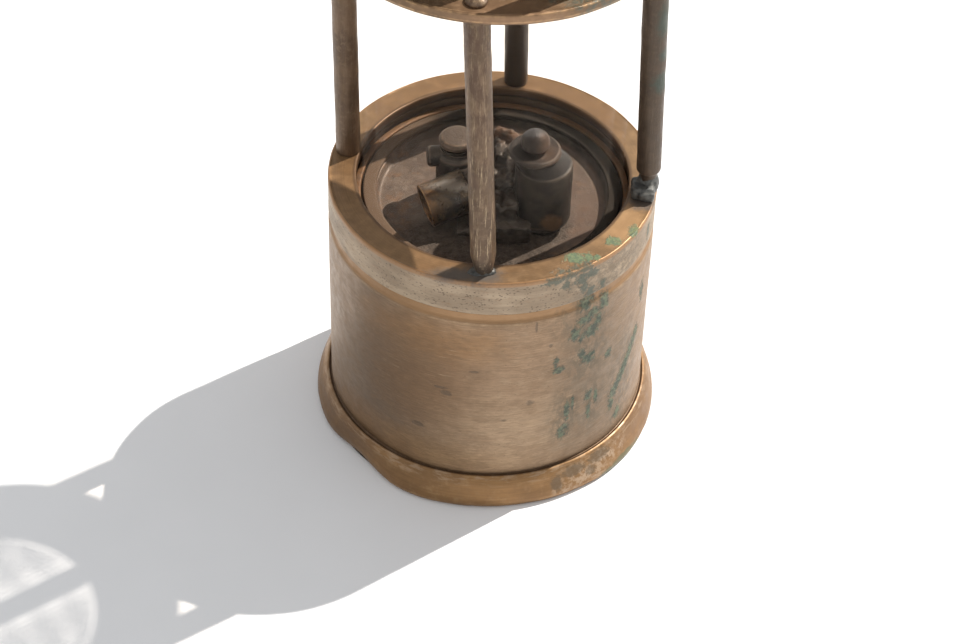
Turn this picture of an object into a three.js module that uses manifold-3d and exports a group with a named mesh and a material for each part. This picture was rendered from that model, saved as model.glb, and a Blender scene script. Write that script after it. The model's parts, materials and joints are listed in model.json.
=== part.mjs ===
// Miner's acetylene safety lamp: brass pot, guard frame round a glass, wire gauze under a riveted hood.
// Millimetres, +Z up, origin on the ground at the centre of the pot, lamp axis along Z.
import * as THREE from 'three';
import { mergeVertices } from 'three/addons/utils/BufferGeometryUtils.js';
import Module from 'manifold-3d';

const wasm = await Module();
wasm.setup();

// ---- driving dimensions ----
const GAP = 0.3;             // clearance kept between pieces that touch
const SEAT_GAP = 0.4;        // clearance under the square shoulders of the leaning pillars
const TURN_STEPS = 48;       // facets round the large turned parts
const SMALL_STEPS = 16;      // facets round the small turned parts

const POT_R = 40.5;          // outside of the pot wall
const POT_WALL = 2.0;
const POT_TOP = 63.4;        // shoulder that the guard ring stands on
const GROOVE_Z = 61.4;       // foot of the groove below the guard ring
const GROOVE_R = 39.3;
const NECK_R = 36.2;         // threaded neck inside the guard ring
const NECK_BORE = 34.2;
const NECK_TOP = 70.2;

const FOOT_R = 44.3;         // widest point of the spun foot
const FOOT_H = 9.2;
const FOOT_FLOOR = 3.8;      // top of the bottom plate
const FOOT_CONTACT_R = 43.6; // outer edge of the ring that touches the ground
const FOOT_INNER_R = 39.6;   // inner edge of that ring
const FOOT_RECESS = 1.6;
const BASE_R = 37.0;         // plate that closes the pot inside the foot

const RING_R = 40.5;
const RING_BORE = 36.5;
const RING_LIP_R = 33.4;     // inner edge of the lip that overhangs the neck
const RING_LIP_Z = 71.2;
const RING_TOP = 73.8;

const DECK_TOP = 65.5;       // burner deck
const DECK_R = 28.4;
const SEAT_TOP = 67.2;       // ledge under the glass
const SHEET = 1.2;           // deck sheet thickness

const GLASS_R = 31.8;
const GLASS_WALL = 3.2;
const GLASS_TOP = 146.7;
const GASKET = 1.2;          // thickness of each glass gasket

const PLATE_BOTTOM = 148.6;  // crown plate between glass and gauze
const PLATE_TOP = 150.6;
const PLATE_R = 41.1;
const PLATE_BORE = 26.0;
const PLATE_LIP = 0.8;       // raised edge of the crown plate
const CROWN_X = -1.0;        // the crown leans this far off the pot's axis

const PILLAR_R = 3.0;
const TENON_R = 2.0;
const TENON_HOLE_R = 2.4;
const HEAD_R = 2.6;          // peened rivet head
const HEAD_H = 1.5;

const HOOD_BOTTOM = 249.0;
const HOOD_SHEET = 2.0;
const HOOD_R = 38.5;
const HOOD_RISE = 4.5;       // height of the dome above the flange
const HOOD_BORE = 3.4;
const UPPER_ROD_R = 33.0;    // circle of the upper rods
const UPPER_ROD_TURN = 37;   // azimuth of the first upper rod, degrees

const VALVE = { x: 9.9, y: -9.0 };
const BOSS = { x: 12.3, y: -8.7 };  // the boss stands off the valve's own axis
const FILLER = { x: -8.9, y: 1.5 };
const JET = { x: -3.5, y: -6.0 };
const NEEDLE_R = 1.2;
const HOOK_Z = HOOD_BOTTOM + 13.0;

// ---- finishes ----
const finish = (color, roughness, metalness) => new THREE.MeshStandardMaterial({ color, roughness, metalness });
const brass = finish(0x8f6f48, 0.48, 0.9);
const wornBrass = finish(0xa5764a, 0.38, 0.9);
const pillarSteel = finish(0x6f6456, 0.5, 0.85);
const soot = finish(0x2b2826, 0.85, 0.3);
const capMetal = finish(0x4c4038, 0.75, 0.4);
const solder = finish(0x4a4d50, 0.6, 0.7);
const tinplate = finish(0x8b8880, 0.45, 0.85);
const rubber = finish(0x2a2522, 0.9, 0.0);
const felt = finish(0xb7aa90, 1.0, 0.0);
const ceramic = finish(0xd9cdb8, 0.8, 0.0);
const gauzeSteel = finish(0x54504b, 0.6, 0.8);
const glass = new THREE.MeshStandardMaterial({
  color: 0xe6eeee, roughness: 0.08, metalness: 0, transparent: true, opacity: 0.3 });

// ---- shape helpers ----
const lamp = new THREE.Group();

function add(name, geometry, material) {
  const mesh = new THREE.Mesh(geometry, material);
  mesh.name = name;
  lamp.add(mesh);
  return mesh;
}

// Signed volume tells which way the faces of a closed geometry point.
function facesOut(geometry) {
  const index = geometry.index.array;
  const at = geometry.attributes.position;
  const [a, b, c] = [new THREE.Vector3(), new THREE.Vector3(), new THREE.Vector3()];
  let volume = 0;
  for (let i = 0; i < index.length; i += 3) {
    a.fromBufferAttribute(at, index[i]);
    b.fromBufferAttribute(at, index[i + 1]);
    c.fromBufferAttribute(at, index[i + 2]);
    volume += a.dot(b.cross(c));
  }
  return volume > 0;
}

// Merges shared vertices, drops the flat triangles left on the axis and turns the faces outward.
function closed(source) {
  source.deleteAttribute('normal');
  source.deleteAttribute('uv');
  const geometry = mergeVertices(source, 1e-4);
  const kept = [];
  const index = geometry.index.array;
  for (let i = 0; i < index.length; i += 3) {
    const [a, b, c] = [index[i], index[i + 1], index[i + 2]];
    if (a !== b && b !== c && c !== a) kept.push(a, b, c);
  }
  geometry.setIndex(kept);
  if (!facesOut(geometry)) geometry.setIndex(kept.reverse());
  return geometry;
}

// A solid of revolution about Z from a profile of [radius, height] points.
function turned(profile, steps = TURN_STEPS) {
  const points = profile.map(([r, z]) => new THREE.Vector2(r, z));
  const geometry = new THREE.LatheGeometry(points, steps);
  geometry.rotateX(Math.PI / 2);
  return closed(geometry);
}

// Closed profile of a ring with bevelled edges.
function ringProfile(inner, outer, bottom, top, bevel = 0.3) {
  if (bevel === 0) return [[inner, bottom], [outer, bottom], [outer, top], [inner, top], [inner, bottom]];
  return [
    [inner + bevel, bottom], [outer - bevel, bottom], [outer, bottom + bevel], [outer, top - bevel],
    [outer - bevel, top], [inner + bevel, top], [inner, top - bevel], [inner, bottom + bevel],
    [inner + bevel, bottom],
  ];
}

// Profile of a solid disc with bevelled edges, from the axis to the axis.
function discProfile(radius, bottom, top, bevel = 0.3) {
  return [
    [0, bottom], [radius - bevel, bottom], [radius, bottom + bevel],
    [radius, top - bevel], [radius - bevel, top], [0, top],
  ];
}

// Profile of an open cup: flat floor, straight or tapered wall.
function cupProfile(bottomR, topR, bottom, top, wall) {
  return [
    [0, bottom], [bottomR, bottom], [topR, top], [topR - wall, top], [bottomR - wall, bottom + wall],
    [0, bottom + wall],
  ];
}

function toManifold(geometry) {
  return new wasm.Manifold(new wasm.Mesh({
    numProp: 3,
    vertProperties: new Float32Array(geometry.attributes.position.array),
    triVerts: new Uint32Array(geometry.index.array),
  }));
}

function fromManifold(manifold) {
  const mesh = manifold.getMesh();
  const geometry = new THREE.BufferGeometry();
  geometry.setAttribute('position', new THREE.BufferAttribute(new Float32Array(mesh.vertProperties), 3));
  geometry.setIndex([...mesh.triVerts]);
  return geometry;
}

// The first geometry less all the others.
function cut(geometry, tools) {
  const body = tools.reduce((rest, tool) => rest.subtract(toManifold(tool)), toManifold(geometry));
  return fromManifold(body);
}

function joined(geometries) {
  return fromManifold(geometries.map(toManifold).reduce((all, next) => all.add(next)));
}

function cylinder(radius, bottom, top, x = 0, y = 0, steps = SMALL_STEPS) {
  return turned(discProfile(radius, bottom, top, 0.01), steps).translate(x, y, 0);
}

function box(x0, x1, y0, y1, z0, z1) {
  const geometry = new THREE.BoxGeometry(x1 - x0, y1 - y0, z1 - z0);
  geometry.translate((x0 + x1) / 2, (y0 + y1) / 2, (z0 + z1) / 2);
  return closed(geometry);
}

// Stands a geometry that is drawn along Z on the point `from`, leaning towards `to`.
function alongLine(geometry, from, to) {
  const turn = new THREE.Quaternion().setFromUnitVectors(
    new THREE.Vector3(0, 0, 1), to.clone().sub(from).normalize());
  geometry.applyQuaternion(turn);
  geometry.translate(from.x, from.y, from.z);
  return geometry;
}

// Moves vertices outward or inward by a function of azimuth and height.
function reshaped(geometry, offset) {
  const at = geometry.attributes.position;
  for (let i = 0; i < at.count; i += 1) {
    const [x, y, z] = [at.getX(i), at.getY(i), at.getZ(i)];
    const radius = Math.hypot(x, y);
    if (radius < 1) continue;
    const scale = 1 + offset(Math.atan2(y, x) * 180 / Math.PI, z, radius) / radius;
    at.setXYZ(i, x * scale, y * scale, z);
  }
  return geometry;
}

// Smooth hump of one, centred on an azimuth, in degrees.
function hump(azimuth, centre, width) {
  const away = ((azimuth - centre + 540) % 360) - 180;
  return Math.exp(-((away / width) ** 2));
}

// ---- pot ----
function buildPot() {
  add('pot_wall', turned([
    [POT_R - POT_WALL, FOOT_FLOOR + GAP], [POT_R, FOOT_FLOOR + GAP], [POT_R, 56], [POT_R, GROOVE_Z - 0.5],
    [POT_R - 0.4, GROOVE_Z], [GROOVE_R, GROOVE_Z + 0.3], [GROOVE_R, POT_TOP], [NECK_R, POT_TOP],
    [NECK_R, NECK_TOP - 0.6], [NECK_R - 0.6, NECK_TOP], [NECK_BORE + 0.5, NECK_TOP],
    [NECK_BORE, NECK_TOP - 0.5], [NECK_BORE, POT_TOP - 2.4], [POT_R - POT_WALL, GROOVE_Z - 2.6],
    [POT_R - POT_WALL, FOOT_FLOOR + GAP],
  ]), brass);

  // The foot is knocked in at one place, which pushes it out a little on both sides.
  const dent = (azimuth, z, radius) => {
    if (radius < FOOT_INNER_R + 2) return 0;
    const low = THREE.MathUtils.clamp((FOOT_H - z) / FOOT_H, 0, 1);
    return low * (0.5 * hump(azimuth, 248, 14) + 0.5 * hump(azimuth, 325, 20) - 2.7 * hump(azimuth, 222, 12));
  };
  const foot = turned([
    [BASE_R + GAP, FOOT_RECESS], [FOOT_INNER_R - 1, FOOT_RECESS], [FOOT_INNER_R, FOOT_RECESS - 0.6],
    [FOOT_INNER_R, 0], [FOOT_CONTACT_R, 0], [FOOT_R - 0.1, 0.8], [FOOT_R, 1.8], [FOOT_R - 0.4, 3.2],
    [FOOT_R - 1.3, 4.8], [FOOT_R - 2.1, 6.4], [FOOT_R - 2.5, 7.8], [FOOT_R - 3.0, 8.8], [FOOT_R - 3.6, FOOT_H],
    [POT_R + GAP, FOOT_H - 0.2], [POT_R + GAP, FOOT_FLOOR], [BASE_R + GAP, FOOT_FLOOR],
    [BASE_R + GAP, FOOT_RECESS],
  ]);
  add('pot_foot', reshaped(foot, dent), wornBrass);
  add('base_plate', turned(discProfile(BASE_R, FOOT_RECESS, FOOT_FLOOR)), wornBrass);

  const deckHoles = [
    cylinder(NEEDLE_R + GAP, DECK_TOP - 4, DECK_TOP + 4, VALVE.x, VALVE.y, 16),
    cylinder(4.0, DECK_TOP - 4, DECK_TOP + 4, FILLER.x, FILLER.y),
    cylinder(3.8, DECK_TOP - 4, DECK_TOP + 4, JET.x, JET.y),
  ];
  const deck = turned([
    [0, DECK_TOP - SHEET], [DECK_R + SHEET, DECK_TOP - SHEET], [DECK_R + SHEET, SEAT_TOP - SHEET],
    [NECK_BORE - GAP, SEAT_TOP - SHEET], [NECK_BORE - GAP, SEAT_TOP + 1.4], [NECK_BORE - GAP - 1, SEAT_TOP + 1.4],
    [NECK_BORE - GAP - 1, SEAT_TOP], [DECK_R, SEAT_TOP], [DECK_R, DECK_TOP], [0, DECK_TOP],
  ]);
  add('deck_plate', cut(deck, deckHoles), wornBrass);
}

// ---- generator inside the pot ----
function buildGenerator() {
  const tankBottom = 40.0;
  const tankR = NECK_BORE - 0.7;
  const tank = turned(cupProfile(tankR, tankR, tankBottom, DECK_TOP, 1.0));
  add('water_tank', cut(tank, [
    cylinder(NEEDLE_R + GAP, tankBottom - 2, tankBottom + 3, VALVE.x, VALVE.y, 16),
    cylinder(3.8, tankBottom - 2, tankBottom + 3, JET.x, JET.y),
  ]), tinplate);

  const nozzle = turned([
    [NEEDLE_R, 33.5], [1.9, 33.5], [3.2, 36.5], [3.2, tankBottom - GAP], [NEEDLE_R + GAP, tankBottom - GAP],
    [NEEDLE_R + GAP, 36.5], [NEEDLE_R, 33.5],
  ], SMALL_STEPS).translate(VALVE.x, VALVE.y, 0);
  add('drip_nozzle', nozzle, wornBrass);

  const riser = turned(ringProfile(2.3, 3.5, 37.0, 69.5, 0), SMALL_STEPS).translate(JET.x, JET.y, 0);
  add('gas_riser', riser, wornBrass);

  add('carbide_cup', turned(cupProfile(tankR, tankR, FOOT_FLOOR + GAP, 33.0, 1.0)), tinplate);

  const dripHole = (bottom, top) => cylinder(4.0, bottom, top, VALVE.x, VALVE.y, 16);
  const sieveHoles = [];
  for (let i = 0; i < 10; i += 1) {
    const turn = (i + 0.5) * Math.PI / 5;
    sieveHoles.push(cylinder(2.2, 26, 30, 24 * Math.cos(turn), 24 * Math.sin(turn), 8));
  }
  const sieve = turned(discProfile(tankR - 1.4, 27.6, 28.6, 0.2));
  add('carbide_sieve', cut(sieve, [dripHole(26, 30), ...sieveHoles]), tinplate);
  const pad = turned(discProfile(tankR - 1.8, 28.9, 32.0, 0.4));
  add('gas_filter_felt', cut(pad, [dripHole(27, 34)]), felt);
}

// ---- burner group on the deck ----
function buildBurnerGroup() {
  const deckRest = DECK_TOP + GAP;
  const bossRim = 84.6;
  const bossTop = 87.5;
  const bossR = 6.9;
  const bore = NEEDLE_R + GAP;
  const boss = turned([
    [0, deckRest], [bossR - 1.6, deckRest], [bossR - 1.2, deckRest + 1.6], [bossR, deckRest + 2.4],
    [bossR, bossRim - 0.3], [bossR - 0.2, bossRim], [5.9, bossTop], [0, bossTop],
  ], 28).translate(BOSS.x, BOSS.y, 0);
  // Above its rim the boss leans over to the valve's axis.
  const at = boss.attributes.position;
  for (let i = 0; i < at.count; i += 1) {
    const lean = THREE.MathUtils.clamp((at.getZ(i) - bossRim) / (bossTop - bossRim), 0, 1);
    at.setX(i, at.getX(i) + (VALVE.x - BOSS.x) * lean);
    at.setY(i, at.getY(i) + (VALVE.y - BOSS.y) * lean);
  }
  const spannerFlat = box(BOSS.x - 8, BOSS.x + 8, BOSS.y - 10, BOSS.y - 5.7, 60, 76.8);
  add('valve_boss', cut(boss, [cylinder(bore, 60, 100, VALVE.x, VALVE.y, 16), spannerFlat]), soot);

  const glandTop = 89.3;
  const gland = turned([
    [bore, bossTop + GAP], [6.1, bossTop + GAP], [6.35, bossTop + GAP + 0.3], [6.35, glandTop - 0.3],
    [6.1, glandTop], [bore, glandTop], [bore, bossTop + GAP],
  ], 28).translate(VALVE.x, VALVE.y, 0);
  add('valve_gland', gland, soot);

  // The knob is hollow underneath for the head of the needle.
  const domeR = 3.55;
  const domeZ = 91.0;
  const shankR = 3.1;
  const knobProfile = [
    [NEEDLE_R + GAP, glandTop + GAP], [shankR, glandTop + GAP], [shankR, domeZ - 0.8], [domeR, domeZ - 0.5],
  ];
  for (let i = 0; i <= 6; i += 1) {
    const rise = i / 6 * Math.PI / 2;
    knobProfile.push([i === 6 ? 0 : domeR * Math.cos(rise), domeZ + domeR * Math.sin(rise)]);
  }
  knobProfile.push([0, domeZ + 0.6], [NEEDLE_R + GAP, domeZ + 0.6], [NEEDLE_R + GAP, glandTop + GAP]);
  add('valve_knob', turned(knobProfile, 24).translate(VALVE.x, VALVE.y, 0), capMetal);

  const needle = turned([
    [0, 34.2], [NEEDLE_R - GAP, 38.4], [NEEDLE_R - 0.1, 40.4], [NEEDLE_R, 42], [NEEDLE_R, domeZ + 0.3],
    [0, domeZ + 0.3],
  ], 16).translate(VALVE.x, VALVE.y, 0);
  add('valve_needle', needle, tinplate);

  const fillerTop = 80.2;
  const fillerBody = turned([
    [2.6, deckRest], [5.2, deckRest], [5.2, fillerTop - 1.6], [4.2, fillerTop - 0.9], [4.2, fillerTop],
    [2.6, fillerTop], [2.6, deckRest],
  ], 24).translate(FILLER.x, FILLER.y, 0);
  const lug = turned(discProfile(2.6, 0, 4.6, 0.5), SMALL_STEPS);
  const lugEnd = new THREE.Vector3(FILLER.x - 2.8, FILLER.y - 0.3, fillerTop - 2.7);
  alongLine(lug, lugEnd, lugEnd.clone().add(new THREE.Vector3(-1, -0.1, 0)));
  const lugBore = cylinder(2.6, deckRest - 1, fillerTop + 1, FILLER.x, FILLER.y);
  add('filler_neck', cut(joined([fillerBody, lug]), [lugBore]), soot);

  const washerZ = fillerTop + GAP;
  add('filler_washer', turned(ringProfile(2.5, 4.2, washerZ, washerZ + 0.7, 0), 24)
    .translate(FILLER.x, FILLER.y, 0), rubber);
  const capZ = washerZ + 1.0;
  add('filler_cap', turned([
    [0, fillerTop - 4.5], [2.2, fillerTop - 4.5], [2.2, capZ], [4.2, capZ], [4.5, capZ + 0.4], [4.5, capZ + 1.7],
    [4.0, capZ + 2.2], [0, capZ + 2.4],
  ], 24).translate(FILLER.x, FILLER.y, 0), capMetal);

  // Air tube: open at its lower end, rising into the casting.
  const tubeR = 5.4;
  const tubeStart = new THREE.Vector3(-16.1, -10.8, 71.2);
  const tubeLine = new THREE.Vector3(0.9, 0.383, 0.212).normalize();
  const tubeLength = 11.0;
  const onTube = (geometry) => alongLine(geometry, tubeStart, tubeStart.clone().add(tubeLine));
  const airTube = onTube(turned(ringProfile(tubeR - 1.0, tubeR, 0, tubeLength, 0.25), 24));
  add('air_tube', airTube, wornBrass);

  const castingParts = [
    box(-8.6, -4.0, -15.6, -1.0, deckRest, 68.0),
    box(-4.4, 6.5, -15.6, 1.5, deckRest, 76.5),
    box(-3.2, 4.5, -10.5, 3.5, deckRest, 80.5),
    box(-2.5, 9.8, -18.0, -9.0, deckRest, 71.5),
    box(0.5, 5.5, -4.5, 1.5, deckRest, 84.0),
    onTube(turned(discProfile(tubeR - 0.2, tubeLength, tubeLength + 4.5, 0.3), 24)),
  ];
  const keepClear = [
    cylinder(bossR + GAP, 60, 100, BOSS.x, BOSS.y, 28),
    cylinder(5.2 + GAP, 60, 100, FILLER.x, FILLER.y, 24),
    onTube(turned(discProfile(tubeR + GAP, -6, tubeLength + GAP, 0.01), 24)),
    cylinder(3.8, 60, 70, JET.x, JET.y),
    cylinder(2.0, 60, 100, JET.x, JET.y, 16),
  ];
  const tubeClear = joined([fillerBody.clone(), lug.clone()]);
  add('burner_casting', cut(joined(castingParts), keepClear), soot);
  lamp.getObjectByName('air_tube').geometry = cut(airTube, [
    cylinder(5.2 + GAP, 60, 100, FILLER.x, FILLER.y, 24), cylinder(3.8, 60, 70.4, JET.x, JET.y), tubeClear,
  ]);

  const stem = turned([
    [0.9, 70.2], [1.7, 70.2], [1.7, 80.8], [2.3, 81.2], [2.3, 87.0], [0.9, 87.0], [0.9, 70.2],
  ], SMALL_STEPS).translate(JET.x, JET.y, 0);
  add('burner_stem', stem, wornBrass);
  const tip = turned([
    [0.7, 87.3], [2.2, 87.3], [2.2, 91.4], [1.7, 93.2], [1.1, 94.4], [0.7, 94.4], [0.7, 87.3],
  ], SMALL_STEPS).translate(JET.x, JET.y, 0);
  add('burner_tip', tip, ceramic);
}

// ---- glass ----
function buildGlass() {
  const inner = GLASS_R - GLASS_WALL;
  const lowerTop = SEAT_TOP + GAP + GASKET;
  add('gasket_lower', turned(ringProfile(inner, GLASS_R, SEAT_TOP + GAP, lowerTop, 0)), rubber);
  add('glass_cylinder', turned(ringProfile(inner, GLASS_R, lowerTop + GAP, GLASS_TOP, 0.5)), glass);
  add('gasket_upper', turned(ringProfile(inner, GLASS_R, GLASS_TOP + GAP, PLATE_BOTTOM - GAP, 0)), rubber);
}

// ---- guard frame ----
// Feet and heads of the four lower pillars; two have worked loose and stand on tinned stubs.
const pillars = [
  { name: 'left', foot: [-35.8, 6.7], head: [-36.5, 6.1], lift: 0, socket: true },
  { name: 'back', foot: [5.1, 36.4], head: [3.2, 36.3], lift: 0, socket: true },
  { name: 'right', foot: [37.9, -4.5], head: [34.9, -5.8], lift: 6.4, socket: false },
  { name: 'front', foot: [-1.3, -35.4], head: [-4.7, -35.1], lift: 4.2, socket: false },
];
const socketDepth = 2.0;

function buildRing() {
  const ring = turned([
    [RING_BORE + 0.4, POT_TOP + GAP], [RING_R - 0.5, POT_TOP + GAP], [RING_R, POT_TOP + GAP + 0.5],
    [RING_R, RING_TOP - 0.9], [RING_R - 0.3, RING_TOP - 0.3], [RING_R - 0.9, RING_TOP],
    [RING_LIP_R + 0.7, RING_TOP], [RING_LIP_R, RING_TOP - 0.7], [RING_LIP_R, RING_LIP_Z + 0.3],
    [RING_LIP_R + 0.3, RING_LIP_Z], [RING_BORE, RING_LIP_Z], [RING_BORE, POT_TOP + GAP + 0.4],
    [RING_BORE + 0.4, POT_TOP + GAP],
  ]);
  const sockets = pillars.filter((pillar) => pillar.socket).map(({ foot }) => (
    cylinder(TENON_HOLE_R, RING_TOP - socketDepth, RING_TOP + 2, foot[0], foot[1])));
  add('guard_ring', cut(ring, sockets), wornBrass);
}

function buildPillar({ name, foot, head, lift, socket }) {
  const from = new THREE.Vector3(foot[0], foot[1], RING_TOP);
  const to = new THREE.Vector3(head[0], head[1], PLATE_BOTTOM);
  const length = to.distanceTo(from);
  const shoulder = lift + SEAT_GAP;
  const tenonEnd = socket ? GAP - socketDepth : GAP;
  const headZ = length + (PLATE_TOP - PLATE_BOTTOM) + GAP;
  const pillar = turned([
    [0, tenonEnd], [TENON_R, tenonEnd], [TENON_R, shoulder], [PILLAR_R - 0.3, shoulder],
    [PILLAR_R, shoulder + 0.4], [PILLAR_R, length - SEAT_GAP - 0.4], [PILLAR_R - 0.3, length - SEAT_GAP],
    [TENON_R - 0.2, length - SEAT_GAP], [TENON_R - 0.2, headZ], [HEAD_R, headZ], [HEAD_R - 0.1, headZ + 0.6],
    [HEAD_R - 0.8, headZ + 1.2], [0, headZ + HEAD_H],
  ], SMALL_STEPS);
  add(`pillar_${name}`, alongLine(pillar, from, to), pillarSteel);
}

// A lump of solder on the ring, with room for the stub it holds.
function buildSolder(name, pillar, centre, size) {
  const lump = closed(new THREE.SphereGeometry(1, 14, 9));
  const at = lump.attributes.position;
  for (let i = 0; i < at.count; i += 1) {
    const [x, y, z] = [at.getX(i), at.getY(i), at.getZ(i)];
    const ripple = 1 + 0.08 * Math.sin(5 * x + 2 * z) + 0.07 * Math.cos(4 * y - 3 * z);
    at.setXYZ(i, x * ripple * size[0] + centre[0], y * ripple * size[1] + centre[1], z * ripple * size[2] + RING_TOP);
  }
  const stub = cylinder(TENON_R + GAP, RING_TOP - 9, RING_TOP + pillar.lift + 6, pillar.foot[0], pillar.foot[1]);
  const below = box(-60, 60, -60, 60, RING_TOP - 20, RING_TOP + GAP);
  const shaftRoom = cylinder(PILLAR_R + 1.0, RING_TOP + pillar.lift - 0.2, 140, pillar.foot[0], pillar.foot[1]);
  add(name, cut(lump, [stub, below, shaftRoom]), solder);
}

function buildCrown() {
  const lipTop = PLATE_TOP + PLATE_LIP;
  const plate = turned([
    [PLATE_BORE + 0.3, PLATE_BOTTOM], [PLATE_R - 0.8, PLATE_BOTTOM], [PLATE_R - 0.2, PLATE_BOTTOM + 0.5],
    [PLATE_R, PLATE_BOTTOM + 1.2], [PLATE_R, lipTop - 0.4], [PLATE_R - 0.4, lipTop], [PLATE_R - 0.9, lipTop - 0.1],
    [PLATE_R - 1.4, PLATE_TOP], [PLATE_BORE, PLATE_TOP], [PLATE_BORE, PLATE_BOTTOM + 0.3],
    [PLATE_BORE + 0.3, PLATE_BOTTOM],
  ]).translate(CROWN_X, 0, 0);
  const holes = pillars.map(({ head }) => cylinder(TENON_HOLE_R, PLATE_BOTTOM - 2, PLATE_TOP + 2, ...head));
  const rodHoles = upperRods().map(([x, y]) => cylinder(TENON_R, PLATE_BOTTOM - 2, PLATE_TOP + 2, x, y, 16));
  add('crown_plate', cut(plate, [...holes, ...rodHoles]), brass);
}

// Centres of the upper rods, which stand between the lower pillars.
function upperRods() {
  return [0, 1, 2, 3].map((quarter) => {
    const turn = THREE.MathUtils.degToRad(UPPER_ROD_TURN + 90 * quarter);
    return [CROWN_X + UPPER_ROD_R * Math.cos(turn), UPPER_ROD_R * Math.sin(turn)];
  });
}

function buildUpperWorks() {
  const flangeTop = PLATE_TOP + GAP + 2.4;
  add('gauze_flange', turned([
    [24.9, PLATE_TOP + GAP], [28.6, PLATE_TOP + GAP], [28.6, PLATE_TOP + GAP + 1.0], [26.6, flangeTop],
    [24.9, flangeTop], [24.9, PLATE_TOP + GAP],
  ]).translate(CROWN_X, 0, 0), wornBrass);

  const gauzeTop = HOOD_BOTTOM - 2.0;
  const foot = PLATE_TOP + GAP;
  const sleeve = (bottomR, topR, bottom, top, wall) => turned([
    [bottomR, bottom], [topR, top - 1.5], [topR - 1.5, top], [0, top], [0, top - wall],
    [topR - 1.5 - wall, top - wall], [topR - wall, top - 1.5 - wall], [bottomR - wall, bottom], [bottomR, bottom],
  ], 40).translate(CROWN_X, 0, 0);
  add('gauze_outer', sleeve(24.5, 20.5, foot, gauzeTop, 0.9), gauzeSteel);
  add('gauze_inner', sleeve(22.2, 18.2, foot, gauzeTop - 3.5, 0.9), gauzeSteel);

  const rodLength = HOOD_BOTTOM - PLATE_TOP;
  const headZ = rodLength + HOOD_SHEET + GAP;
  upperRods().forEach(([x, y], i) => {
    const rod = turned([
      [0, -1.6], [TENON_R - GAP, -1.6], [TENON_R - GAP, GAP], [4.2, GAP], [4.2, 1.6], [PILLAR_R, 2.8],
      [PILLAR_R, rodLength - GAP], [TENON_R - GAP, rodLength - GAP], [TENON_R - GAP, headZ], [HEAD_R, headZ],
      [HEAD_R - 0.1, headZ + 0.6], [HEAD_R - 0.8, headZ + 1.2], [0, headZ + HEAD_H],
    ], SMALL_STEPS).translate(x, y, PLATE_TOP);
    add(`upper_rod_${i + 1}`, rod, pillarSteel);
  });

  const top = HOOD_BOTTOM + HOOD_SHEET;
  const hood = turned([
    [HOOD_BORE, HOOD_BOTTOM + HOOD_RISE], [8, HOOD_BOTTOM + HOOD_RISE], [16, HOOD_BOTTOM + HOOD_RISE - 0.9],
    [22, HOOD_BOTTOM + 1.6], [25, HOOD_BOTTOM], [HOOD_R - 0.6, HOOD_BOTTOM], [HOOD_R, HOOD_BOTTOM + 0.6],
    [HOOD_R, top - 0.5], [HOOD_R - 0.5, top], [26, top], [22.5, top + 1.8], [16, top + HOOD_RISE - 0.7],
    [8, top + HOOD_RISE], [HOOD_BORE, top + HOOD_RISE], [HOOD_BORE, HOOD_BOTTOM + HOOD_RISE],
  ]).translate(CROWN_X, 0, 0);
  const holes = upperRods().map(([x, y]) => cylinder(TENON_R, HOOD_BOTTOM - 2, top + 2, x, y, 16));
  add('hood', cut(hood, holes), brass);
}

// ---- swivel and hook ----
function buildHook() {
  const stemR = HOOD_BORE - GAP;
  const domeTop = HOOD_BOTTOM + HOOD_SHEET + HOOD_RISE;
  const cheekInner = 2.6;
  const cheekOuter = 5.2;
  const pinR = 1.6;
  const stem = turned([
    [0, HOOD_BOTTOM + 1.4], [6.2, HOOD_BOTTOM + 1.4], [6.2, HOOD_BOTTOM + HOOD_RISE - GAP],
    [stemR, HOOD_BOTTOM + HOOD_RISE - GAP], [stemR, domeTop + GAP], [6.6, domeTop + GAP],
    [6.6, domeTop + 1.4], [0, domeTop + 1.4],
  ], 32);
  const cheek = (y0, y1) => {
    const side = turned(discProfile(4.2, 0, y1 - y0, 0.3), SMALL_STEPS).rotateX(-Math.PI / 2);
    side.translate(0, y0, HOOK_Z);
    return joined([side, box(-3.6, 3.6, y0, y1, domeTop + 1, HOOK_Z)]);
  };
  const pinHole = cylinder(pinR + GAP, -9, 9, 0, 0, 16).rotateX(-Math.PI / 2).translate(0, 0, HOOK_Z);
  const swivel = cut(joined([stem, cheek(-cheekOuter, -cheekInner), cheek(cheekInner, cheekOuter)]), [pinHole]);
  add('hook_swivel', swivel.translate(CROWN_X, 0, 0), wornBrass);

  const pin = turned([
    [0, -cheekOuter - 1.2], [2.2, -cheekOuter - 1.0], [2.6, -cheekOuter - GAP], [pinR, -cheekOuter - GAP],
    [pinR, cheekOuter + GAP], [2.6, cheekOuter + GAP], [2.2, cheekOuter + 1.0], [0, cheekOuter + 1.2],
  ], 16).rotateX(-Math.PI / 2);
  add('hook_pin', pin.translate(CROWN_X, 0, HOOK_Z), pillarSteel);

  const line = [[3.2, 0], [9, 0], [13.5, -1.2], [17, -5.6], [22, -9], [28, -8.6], [32.8, -4.6], [34.2, 1],
    [32, 6.4], [27, 9.3], [21.6, 8.4], [18.8, 5.4]].map(([x, y]) => new THREE.Vector3(x, y, 0));
  const section = new THREE.Shape();
  section.absarc(0, 0, 2.0, 0, Math.PI * 2);
  const bend = closed(new THREE.ExtrudeGeometry(section, {
    steps: 36, curveSegments: 4, bevelEnabled: false, extrudePath: new THREE.CatmullRomCurve3(line) }));
  const eye = turned(discProfile(4.1, -cheekInner + GAP, cheekInner - GAP, 0.3), SMALL_STEPS).rotateX(-Math.PI / 2);
  const eyeHole = cylinder(pinR + GAP, -9, 9, 0, 0, 16).rotateX(-Math.PI / 2);
  add('hook', cut(joined([eye, bend]), [eyeHole]).translate(CROWN_X, 0, HOOK_Z), pillarSteel);
}

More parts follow.
